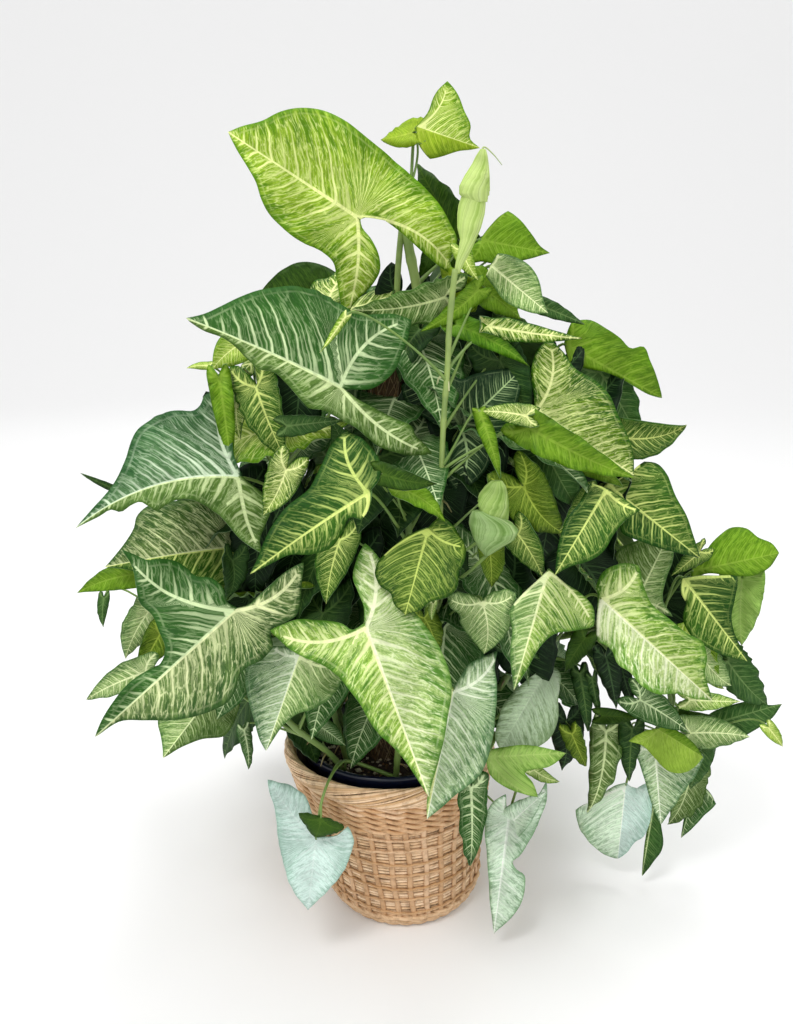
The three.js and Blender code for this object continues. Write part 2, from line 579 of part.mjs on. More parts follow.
// How far the midrib has bent sideways at a distance along it.
function sweepAt(leaf, along) {
  const part = THREE.MathUtils.clamp(along / leaf.length, 0, 1);
  return leaf.length * leaf.sweep * 4 * part * (1 - part);
}

function halfOut(leaf, side) {
  const fold = THREE.MathUtils.degToRad(leaf.fold);
  return leaf.right.clone().multiplyScalar(side * Math.cos(fold)).addScaledVector(leaf.up, Math.sin(fold));
}

function halfNormal(leaf, side) {
  const fold = THREE.MathUtils.degToRad(leaf.fold);
  return leaf.up.clone().multiplyScalar(Math.cos(fold)).addScaledVector(leaf.right, -side * Math.sin(fold));
}

function frontLeaf(row, shift) {
  const hub = spot([row.hub[0], row.hub[1], row.hub[2] + shift]);
  const tip = spot([row.tip[0], row.tip[1], row.tip[2] + shift]);
  const along = tip.clone().sub(hub);
  const length = along.length();
  along.normalize();
  const toEye = EYE.clone().sub(hub).normalize();
  const facing = toEye.addScaledVector(along, -toEye.dot(along)).normalize();
  const up = turned(along, facing, row.turn ?? 0);
  const { fold, full = TYPICAL.full, sweep = 0 } = row;
  const leaf = { hub, along, up, right: along.clone().cross(up), length, fold, sweep };
  const ends = row.lobes.map(([across, down]) => sightLine(across, down).normalize());
  const order = ends[0].dot(leaf.right) > ends[1].dot(leaf.right) ? [1, 0] : [0, 1];
  leaf.halves = [-1, 1].map((side, i) => {
    const [across, down, width] = row.lobes[order[i]];
    const drawn = OUTLINES[row.name]?.[order[i]];
    const margin = (points) => points?.map((point) => inPlane(leaf, side, point, TYPICAL.sinus));
    return {
      lobe: inPlane(leaf, side, [across, down], drawn ? TYPICAL.sinus : SMALLEST_REACH),
      width: width * length, full, inner: margin(drawn?.inner), outer: margin(drawn?.outer),
    };
  });
  return leaf;
}

function backLeaf(row, shift) {
  const bearing = THREE.MathUtils.degToRad(row.bearing);
  const dip = THREE.MathUtils.degToRad(row.dip);
  const level = new THREE.Vector3(Math.cos(bearing), Math.sin(bearing), 0);
  const hub = new THREE.Vector3(...row.hub).addScaledVector(level, shift);
  const along = level.multiplyScalar(Math.cos(dip)).setZ(-Math.sin(dip));
  const up = new THREE.Vector3(0, 0, 1).addScaledVector(along, Math.sin(dip)).normalize();
  const { length } = row;
  const lobe = TYPICAL.lobe.map((part) => part * length);
  const { full, fold } = TYPICAL;
  const half = { lobe, width: TYPICAL.width * length, full };
  const right = along.clone().cross(up);
  return { hub, along, up, right, length, fold, sweep: 0, halves: [half, half] };
}

// The margin of half a blade, from the sinus round the lobe to the tip.
function halfMargin(leaf, half) {
  const { length } = leaf;
  const margin = half.outer ? [...half.inner, half.lobe, ...half.outer] : typicalMargin(leaf, half);
  const nearest = TYPICAL.sinus * length;
  const bends = margin.filter(([x], k) => {
    return x > nearest || margin[k - 1]?.[0] !== nearest || margin[k + 1]?.[0] !== nearest;
  });
  return [[0, -nearest], ...bends, [0, length]];
}

function typicalMargin({ length }, { lobe, width, full }) {
  const reach = Math.hypot(...lobe);
  const ahead = [lobe[0] / reach, lobe[1] / reach];
  const aside = [-ahead[1], ahead[0]];
  const byLobe = (a, b) => [reach * (a * ahead[0] + b * aside[0]), reach * (a * ahead[1] + b * aside[1])];
  const waist = byLobe(0.6, 0.5);
  const shoulderY = Math.max(0.05, lobe[1] / length + 0.28, waist[1] / length + 0.05);
  const outlineAt = (y) => [width * Math.pow(1 - Math.pow(y, full), TYPICAL.taper), y * length];
  const apart = ([x, y]) => [Math.max(x, TYPICAL.sinus * length), y];
  const shoulder = outlineAt(shoulderY);
  const neck = [(waist[0] + shoulder[0]) / 2, (waist[1] + shoulder[1]) / 2];
  const blade = MIDRIB.slice(1).map((part) => outlineAt(shoulderY + (1 - shoulderY) * part));
  return [apart(byLobe(0.45, -0.17)), apart(byLobe(0.85, -0.13)), lobe, byLobe(0.87, 0.24), neck,
    shoulder, ...blade];
}

// Lifts a flat blade point into space: fold, bow along the midrib, camber across it, sagging lobes.
function bladePoint(leaf, side, width, [x, y]) {
  const part = THREE.MathUtils.clamp(y / leaf.length, 0, 1);
  const back = Math.min(y / leaf.length, 0);
  const bow = TYPICAL.bow * 4 * part * (1 - part);
  const camber = TYPICAL.camber * Math.pow(x / width, 2);
  const lift = leaf.length * (bow - Math.min(camber, 0.1) - TYPICAL.lobeSag * back * back);
  return leaf.hub.clone()
    .addScaledVector(leaf.along, y)
    .addScaledVector(halfOut(leaf, side), x)
    .addScaledVector(leaf.right, sweepAt(leaf, y))
    .addScaledVector(leaf.up, lift);
}

// The middle sheet of a blade: its triangles, and its margin as a run of points on each side. The
// midrib is taken as slightly bent while a half is cut into triangles, so that all its points are used.
function bladeSheet(leaf) {
  const { length } = leaf;
  const skin = [];
  const edge = [];
  [-1, 1].forEach((side, i) => {
    const half = leaf.halves[i];
    const margin = halfMargin(leaf, half);
    const flat = [...margin, ...MIDRIB.toReversed().map((part) => [0, part * length])];
    const bent = flat.map(([x, y]) => {
      return new THREE.Vector2(x > 0 ? x : -0.01 * (y + 0.03 * length) * (1 - y / length), y);
    });
    const place = (point) => bladePoint(leaf, side, half.width, point);
    for (const corners of THREE.ShapeUtils.triangulateShape(bent, [])) {
      pushTriangle(skin, corners.map((k) => place(flat[k])), side);
    }
    const run = margin.map(place);
    edge.push(side > 0 ? run : run.reverse());
  });
  return { skin, edge };
}

// The blade as a closed solid: an upper and a lower skin joined round the edge.
function bladeGeometry(leaf, thickness) {
  const { skin, edge } = bladeSheet(leaf);
  const half = leaf.up.clone().multiplyScalar(thickness / 2);
  const triangles = [];
  for (const [a, b, c] of skin) {
    triangles.push(a.clone().add(half), b.clone().add(half), c.clone().add(half));
    triangles.push(a.clone().sub(half), c.clone().sub(half), b.clone().sub(half));
  }
  for (const margin of edge) {
    for (let k = 0; k + 1 < margin.length; k += 1) {
      const [a, b] = [margin[k], margin[k + 1]];
      const [aLow, bLow] = [a.clone().sub(half), b.clone().sub(half)];
      const [aTop, bTop] = [a.clone().add(half), b.clone().add(half)];
      triangles.push(aLow, bLow, bTop, aLow, bTop, aTop);
    }
  }
  const geometry = new THREE.BufferGeometry();
  geometry.setFromPoints(triangles);
  return geometry;
}

function pushTriangle(list, [a, b, c], side) {
  list.push(side > 0 ? [a, b, c] : [a, c, b]);
}

// The stalk: out of the stem, up and round to the underside of the blade at its hub.
function petioleCurve(row, leaf, bow) {
  const stem = stemCurve(row.stem);
  const start = stem.getPointAt(row.at);
  const end = leaf.hub.clone().addScaledVector(leaf.up, -0.2);
  if (row.via) {
    return new THREE.CatmullRomCurve3([start, ...row.via.map(spot), end]);
  }
  const span = start.distanceTo(end);
  const outward = new THREE.Vector3(end.x - start.x, end.y - start.y, 0).normalize();
  const sideways = new THREE.Vector3(-outward.y, outward.x, 0);
  const rising = start.clone()
    .addScaledVector(stem.getTangentAt(row.at), 0.2 * span)
    .addScaledVector(outward, 0.18 * span)
    .addScaledVector(sideways, bow);
  const arriving = end.clone()
    .addScaledVector(leaf.up, -0.28 * span)
    .addScaledVector(leaf.along, -0.16 * span)
    .addScaledVector(sideways, bow);
  return new THREE.CubicBezierCurve3(start, rising, arriving, end);
}

// A leaf, blade and stalk in one, cut clear of its own stem; extra fattens it for the clearance test.
function leafSolid(row, leaf, bow, extra, stemKeepOut) {
  const blade = solidOf(bladeGeometry(leaf, BLADE_THICKNESS + 2 * extra));
  const curve = petioleCurve(row, leaf, bow);
  const stalk = solidOf(tube(curve, PETIOLE.radius + extra, PETIOLE.sides, PETIOLE.steps));
  return blade.add(stalk).subtract(stemKeepOut);
}

function boxesMeet(a, b) {
  const [p, q] = [a.boundingBox(), b.boundingBox()];
  return [0, 1, 2].every((i) => p.min[i] <= q.max[i] && q.min[i] <= p.max[i]);
}

function clearOf(solid, others) {
  return others.every((other) => !boxesMeet(solid, other) || solid.intersect(other).isEmpty());
}

// Places a leaf at the first step that clears everything placed before it.
function placeLeaf(row, shape, placed, stemKeepOut) {
  for (const shift of SHIFTS) {
    const leaf = shape(row, shift);
    for (const bow of BOWS) {
      const fat = leafSolid(row, leaf, bow, 1.2 * GAP, stemKeepOut);
      if (fat.boundingBox().min[2] > LOWEST && fat.decompose().length === 1 && clearOf(fat, placed)) {
        return leafSolid(row, leaf, bow, 0, stemKeepOut);
      }
    }
  }
  throw new Error(`${row.name} fits nowhere`);
}

// ---- the new leaf, still rolled ----

function newLeafGeometry() {
  const foot = stemCurve('stem_shoot').getPointAt(1).add(new THREE.Vector3(0, 0, 2 * GAP));
  const spine = new THREE.CatmullRomCurve3([foot, spot([462, 240, -70]), spot([472, 205, -70]),
    spot([482, 165, -69]), spot([485, 148, -68]), spot([502, 166, -66])]);
  const sizes = [[0, 0.24], [0.1, 0.3], [0.22, 0.75], [0.38, 1], [0.52, 0.9], [0.64, 0.62], [0.76, 0.24],
    [0.88, 0.1], [1, 0.06]];
  const { sides } = NEW_LEAF;
  const rings = sizes.map(([part, size]) => {
    const centre = spine.getPointAt(part);
    return Array.from({ length: sides }, (_, i) => {
      const angle = (2 * Math.PI * i) / sides;
      const across = NEW_LEAF.width * size * Math.cos(angle);
      const deep = NEW_LEAF.depth * size * Math.sin(angle);
      return centre.clone().add(new THREE.Vector3(across, deep, 0));
    });
  });
  const triangles = [];
  for (let k = 0; k + 1 < rings.length; k += 1) {
    for (let i = 0; i < sides; i += 1) {
      const j = (i + 1) % sides;
      triangles.push(rings[k][i], rings[k][j], rings[k + 1][j]);
      triangles.push(rings[k][i], rings[k + 1][j], rings[k + 1][i]);
    }
  }
  for (let i = 1; i + 1 < sides; i += 1) {
    triangles.push(rings[0][0], rings[0][i + 1], rings[0][i]);
    triangles.push(rings.at(-1)[0], rings.at(-1)[i], rings.at(-1)[i + 1]);
  }
  return new THREE.BufferGeometry().setFromPoints(triangles);
}

// ---- the plant ----

const plant = new THREE.Group();
const placed = [];

function addPiece(name, solid, color, roughness) {
  plant.add(meshOf(name, solid, color, roughness));
  placed.push(solid);
}

addPiece('basket', solidOf(basketGeometry()), 0xc89b62, 0.7);
addPiece('nursery_pot', solidOf(potGeometry()), 0x141a2b, 0.35);

const stemNames = Object.keys(STEMS);
const keepOuts = Object.fromEntries(stemNames.map((name) => [name, solidOf(stemGeometry(name, GAP))]));
let soil = solidOf(soilGeometry()).subtract(solidOf(poleGeometry(GAP)));
for (const name of stemNames) {
  soil = soil.subtract(solidOf(stemGeometry(name, 1.5 * GAP).translate(0, 0, -GAP)));
}
addPiece('soil', soil, 0x2b211a, 0.95);
addPiece('moss_pole', solidOf(poleGeometry(0)), 0x6b4a2c, 0.95);
for (const name of stemNames) {
  addPiece(name, solidOf(stemGeometry(name, 0)), 0x8fae6a, 0.5);
}
addPiece('new_leaf', solidOf(newLeafGeometry()), 0xb9cf74, 0.45);

for (const row of FRONT_LEAVES) {
  addPiece(row.name, placeLeaf(row, frontLeaf, placed, keepOuts[row.stem]), row.green, 0.45);
}
for (const row of BACK_LEAVES) {
  addPiece(row.name, placeLeaf(row, backLeaf, placed, keepOuts[row.stem]), GREEN.dark, 0.45);
}

export default plant;
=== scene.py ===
"""Arrowhead plant on a coir pole, in a nursery pot that leans inside a wicker basket.

Lengths are worked out in millimetres and turned into metres when a mesh is made. Every leaf is
set out like its CAD node and then drawn with a smooth margin, veins, puckers and waves.
"""

import json
import math
import random

import bpy
import numpy as np
from mathutils import Matrix, Vector, noise
from mathutils.geometry import delaunay_2d_cdt


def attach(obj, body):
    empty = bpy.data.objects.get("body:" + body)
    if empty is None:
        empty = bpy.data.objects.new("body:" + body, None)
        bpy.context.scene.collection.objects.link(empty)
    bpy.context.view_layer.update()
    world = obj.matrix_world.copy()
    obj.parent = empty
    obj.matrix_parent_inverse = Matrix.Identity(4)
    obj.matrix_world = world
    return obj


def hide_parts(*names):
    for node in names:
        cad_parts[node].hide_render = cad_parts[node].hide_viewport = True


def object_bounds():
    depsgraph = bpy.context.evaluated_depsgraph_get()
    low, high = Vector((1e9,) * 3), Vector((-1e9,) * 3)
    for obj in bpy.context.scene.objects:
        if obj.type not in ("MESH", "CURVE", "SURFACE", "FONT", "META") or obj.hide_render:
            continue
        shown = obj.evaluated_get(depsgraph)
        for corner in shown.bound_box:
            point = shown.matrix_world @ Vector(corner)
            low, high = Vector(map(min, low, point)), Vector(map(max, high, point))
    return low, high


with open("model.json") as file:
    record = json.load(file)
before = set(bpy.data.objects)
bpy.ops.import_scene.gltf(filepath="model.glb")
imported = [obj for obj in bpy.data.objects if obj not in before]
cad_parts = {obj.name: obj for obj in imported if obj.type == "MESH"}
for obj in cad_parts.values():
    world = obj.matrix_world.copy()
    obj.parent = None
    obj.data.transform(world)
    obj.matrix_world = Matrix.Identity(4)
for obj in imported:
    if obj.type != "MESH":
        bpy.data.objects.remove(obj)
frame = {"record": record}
cad_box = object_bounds()

MM = 0.001
TURN = 2 * math.pi
ANY_TURN = 6.28  # near enough a full turn, for random angles
Z = Vector((0, 0, 1))
SEEDS = dict(basket=4, pole=6, soil=9, stems=12, crown=21, small=31, inner=32)
LEAF_SEEDS = dict(front=1, back=51, small=71, crown=171, inner=301)  # where each kind's start

# The drawing is a picture seen from EYE: its middle, its height and its focal length are counted in
# its pixels, and PITCH is how far the line of sight points down.
EYE = Vector((-7.5, -679, 625))
MIDDLE, HORIZON, REACH, PITCH = 396.5, 512, 850, math.radians(19.8)
DRAWING_HEIGHT, SENSOR = 1024, 36

BASKET = dict(height=158, foot=64, rim=98, wall=4.5, floor=5)
POT = dict(height=160, foot=56, top=76, wall=2.2, lip=5, base=5.3)
LEAN = dict(sideways=-15, tilt=0.12)
SOIL = dict(edge=138, crown=144)
POLE = dict(x=-17, radius=21, foot=34, top=545)
ROUND = 96  # sides of a turned body
REEDS, STAVES, WEFTS, RIM_STRANDS, CRUMBS, FIBRES = 43, 34, 7, 30, 900, 1500

# Colours as they look on a screen, from 0 to 255.
COLOURS = dict(
    # The basket wall's dark brown is painted shade for the gaps between the pale strands.
    basket=(96, 64, 40), reed=(236, 202, 162), stave=(208, 168, 128), weft=(204, 164, 122),
    upper_twine=(220, 180, 138), lower_twine=(216, 178, 136), rim=(226, 190, 148),
    pot=(20, 26, 43), pot_low=(16, 22, 42), pot_worn=(30, 38, 60), soil=(52, 40, 32),
    crumb=(58, 44, 34), bark=(104, 78, 54), perlite=(196, 184, 160), coir=(92, 72, 50),
    fibre=(140, 116, 82), wicker_dark=(150, 110, 72), coir_dark=(52, 40, 26),
    soil_dark=(24, 18, 14), stalk=(116, 144, 70), stalk_dark=(84, 112, 60),
    pale_stem=(146, 168, 92), green_stem=(112, 138, 70), root=(132, 112, 74),
    aerial_root=(196, 200, 150), underside=(132, 158, 116), roll_vein=(214, 228, 172),
    roll_tip=(168, 184, 120))

# Each stem's radius, and the points that it passes through.
STEMS = {
    "stem_main": (4.5, [(13, -8, 112), (12, -9, 250), (12, -9, 400), (13, -9, 520), (9, -8, 560),
                        (1, -6, 600), (-4, -6, 640)]),
    "stem_shoot": (2.5, [(26, -32, 112), (28, -48, 200), (25, -62, 320), (26, -68, 420),
                         (27, -70, 477), (29, -70, 514), (30, -70, 549), (33, -70, 584)]),
    "stem_left": (3.4, [(-48, -16, 112), (-62, -22, 190), (-84, -28, 280), (-98, -30, 360),
                        (-100, -28, 430)]),
    "stem_left_low": (3, [(-42, -32, 112), (-62, -54, 172), (-92, -72, 215), (-126, -78, 262)]),
    "stem_front": (3.2, [(-10, -48, 112), (-6, -60, 190), (-2, -66, 270), (2, -66, 345),
                         (2, -64, 400)]),
    "stem_right": (3.4, [(36, -18, 112), (56, -22, 175), (88, -22, 230), (116, -16, 290),
                         (130, -10, 360), (134, -6, 420)]),
    "stem_trail": (2.8, [(40, 10, 112), (58, 12, 168), (96, 14, 215), (150, 12, 258),
                         (205, 8, 256), (240, 4, 215), (252, 2, 160)]),
    "stem_front_right": (2.8, [(30, -38, 112), (40, -44, 176), (62, -62, 206), (92, -76, 202)]),
    "stem_back": (3.4, [(-6, 38, 112), (-2, 66, 200), (4, 88, 300), (8, 96, 390), (8, 92, 460)]),
    "stem_back_left": (3, [(-46, 26, 112), (-78, 56, 190), (-108, 84, 270), (-122, 94, 350)]),
    "stem_back_right": (3, [(20, 36, 112), (34, 52, 168), (60, 80, 215), (92, 106, 280),
                            (106, 114, 350)]),
}

# Leaves that stand for a CAD node: name, looks of the halves in the order of the lobes, stem, where
# along it the stalk leaves, hub, tip, the two lobe ends with the width of each half, and more for
# front_leaf. Places on the drawing are across and down in pixels, then the real depth y.
FRONT_LEAVES = [
    ("leaf_crown", ("lime", "lime"), "stem_main", .97, (357, 217, -45), (228, 132, -60),
     ((450, 296, .46), (347, 325, .32)), dict(fold=6, full=4)),
    ("leaf_upper_left", ("dark", "dusk"), "stem_left", .98, (340, 387, -94), (186, 318, -118),
     ((417, 318, .46), (440, 453, .26)), dict(turn=12, fold=10, full=2.4)),
    ("leaf_back_high", ("moss", "moss"), "stem_main", .72, (335, 300, 42), (262, 290, 50),
     ((337, 274, .34), (350, 322, .3)), dict(fold=8)),
    ("leaf_top", ("lime", "spring"), "stem_main", .96, (418, 127, -12), (480, 148, -20),
     ((447, 81, .34), (430, 159, .32)), dict(fold=12)),
    ("leaf_high_right", ("leafy", "leafy"), "stem_main", .86, (482, 240, 0), (550, 253, -4),
     ((466, 262, .3), (508, 211, .4)), dict(fold=8)),
    ("leaf_silver", ("silver", "silver"), "stem_main", .8, (492, 266, -30), (548, 313, -51),
     ((498, 253, .34), (486, 276, .34)), dict(fold=8)),
    ("leaf_bright", ("leafy", "leafy"), "stem_right", .93, (567, 345, -10), (662, 398, -22),
     ((572, 322, .28), (570, 363, .3)), dict(fold=12)),
    ("leaf_speckled", ("speckled", "speckled"), "stem_right", .97, (537, 410, -45), (634, 475, -74),
     ((548, 338, .5), (505, 432, .3)), dict(fold=8, full=2.6)),
    # This leaf's dark look is painted shade, darker than the blade's own green.
    ("leaf_shaded", ("painted_shade_veined", "painted_shade_veined"), "stem_front", .96, (461, 428, -40), (525, 366, -36),
     ((400, 385, .48), (455, 492, .45)), dict(fold=8)),
    ("leaf_right_edge", ("veined", "deep_veined"), "stem_right", .8, (608, 485, -30),
     (700, 558, -53), ((645, 462, .3), (596, 512, .28)), dict(fold=10)),
    ("leaf_right_dark", ("veined", "deep_veined"), "stem_right", .7, (606, 490, -73),
     (555, 575, -109), ((641, 509, .34), (590, 484, .34)), dict(fold=10)),
    ("leaf_right_hanging", ("pale", "silver"), "stem_right", .52, (548, 572, -90), (514, 690, -136),
     ((594, 626, .32), (509, 612, .28)), dict(fold=10)),
    ("leaf_cream", ("pale", "frost_lime"), "stem_trail", .42, (602, 599, -78), (712, 700, -114),
     ((640, 566, .32), (598, 641, .36)), dict(fold=6, full=2.8)),
    ("leaf_upright_right", ("dusk", "silver"), "stem_trail", .5, (636, 602, -30), (673, 526, -28),
     ((612, 566, .38), (672, 618, .38)), dict(fold=10)),
    ("leaf_far_right", ("leafy", "leafy"), "stem_trail", .66, (694, 571, -12), (779, 553, -14),
     ((702, 560, .42), (692, 580, .24)), dict(fold=8, full=3)),
    ("leaf_far_right_lime", ("deep_veined", "veined"), "stem_trail", .7, (684, 579, -30),
     (747, 661, -50), ((739, 578, .3), (686, 603, .3)), dict(fold=10)),
    ("leaf_low_right_tip", ("plain_dark", "plain_dark"), "stem_trail", .9, (712, 724, -16),
     (782, 704, -20), ((707, 740, .3), (708, 715, .3)), dict(fold=8)),
    ("leaf_trail_olive", ("pear", "leafy"), "stem_trail", .86, (658, 729, -42), (703, 757, -50),
     ((630, 742, .42), (668, 726, .28)), dict(fold=8, full=2.6)),
    ("leaf_trail_veined", ("frosted", "frosted"), "stem_trail", .92, (655, 748, -24),
     (661, 824, -34), ((705, 758, .36), (631, 745, .26)), dict(fold=10)),
    ("leaf_trail_narrow", ("plain_dark", "dusk"), "stem_trail", .98, (655, 802, -6),
     (642, 876, -20), ((660, 800, .2), (650, 797, .18)), dict(fold=12)),
    ("leaf_trail_mint", ("mint_veined", "white"), "stem_trail", .93, (626, 786, -8),
     (618, 858, -14), ((576, 808, .56), (652, 798, .46)), dict(fold=4, full=3)),
    ("leaf_trail_edge", ("dark", "plain_dark"), "stem_trail", .96, (697, 783, 0), (681, 838, -10),
     ((716, 804, .3), (688, 790, .2)), dict(fold=10)),
    ("leaf_front_dark", ("frosted", "cream"), "stem_front", .42, (453, 692, -118), (427, 819, -168),
     ((498, 650, .36), (430, 668, .3)), dict(fold=8, full=2.4)),
    ("leaf_plain_mint", ("mint", "mint"), "stem_front_right", .7, (548, 668, -52), (500, 750, -84),
     ((558, 700, .36), (528, 679, .36)), dict(fold=6, full=3)),
    ("leaf_front_olive", ("apple", "apple"), "stem_front_right", .85, (488, 757, -109),
     (566, 753, -113), ((538, 797, .14), (492, 749, .16)), dict(fold=6)),
    ("leaf_hanging", ("mint_veined", "mint_veined"), "stem_front_right", .95, (509, 817, -78),
     (494, 934, -98), ((546, 787, .2), (506, 793, .2)), dict(fold=8, full=3.4)),
    ("leaf_front", ("pale", "creamy"), "stem_front", .55, (366, 628, -144), (429, 797, -199),
     ((268, 630, .36), (365, 542, .34)), dict(fold=5, full=2.4)),
    ("leaf_left_front", ("dark", "streaked"), "stem_left_low", .9, (234, 611, -125),
     (95, 737, -192), ((122, 549, .24), (304, 562, .36)), dict(fold=6)),
    ("leaf_left_inner", ("frosted", "silver"), "stem_left_low", .75, (299, 656, -106),
     (266, 751, -141), ((272, 646, .4), (345, 664, .42)), dict(fold=5)),
    ("leaf_over_rim", ("white", "white"), "stem_front", .14, (316, 839, -106), (308, 910, -116),
     ((266, 787, .5), (348, 828, .46)), dict(fold=4, full=2.4)),
    ("leaf_centre_olive", ("mottled", "mottled"), "stem_front", .8, (428, 530, -99),
     (405, 615, -147), ((378, 561, .3), (467, 546, .42)), dict(fold=8, full=3)),
    ("leaf_centre_veined", ("deep_veined", "veined"), "stem_front", .92, (368, 493, -118),
     (250, 574, -163), ((347, 424, .4), (361, 520, .14)), dict(turn=10, fold=12)),
    ("leaf_left", ("blue", "dusk"), "stem_left", .92, (238, 477, -78), (76, 528, -122),
     ((228, 376, .46), (262, 552, .2)), dict(turn=10, fold=10, sweep=0.09)),
    ("leaf_left_lower", ("streaked", "veined"), "stem_left", .6, (235, 547, -40), (105, 567, -85),
     ((256, 516, .4), (232, 588, .24)), dict(turn=10, fold=10)),
    ("leaf_under_left", ("dusk", "silver"), "stem_left_low", .6, (215, 690, -78), (163, 758, -107),
     ((240, 705, .3), (162, 705, .3)), dict(fold=8)),
]

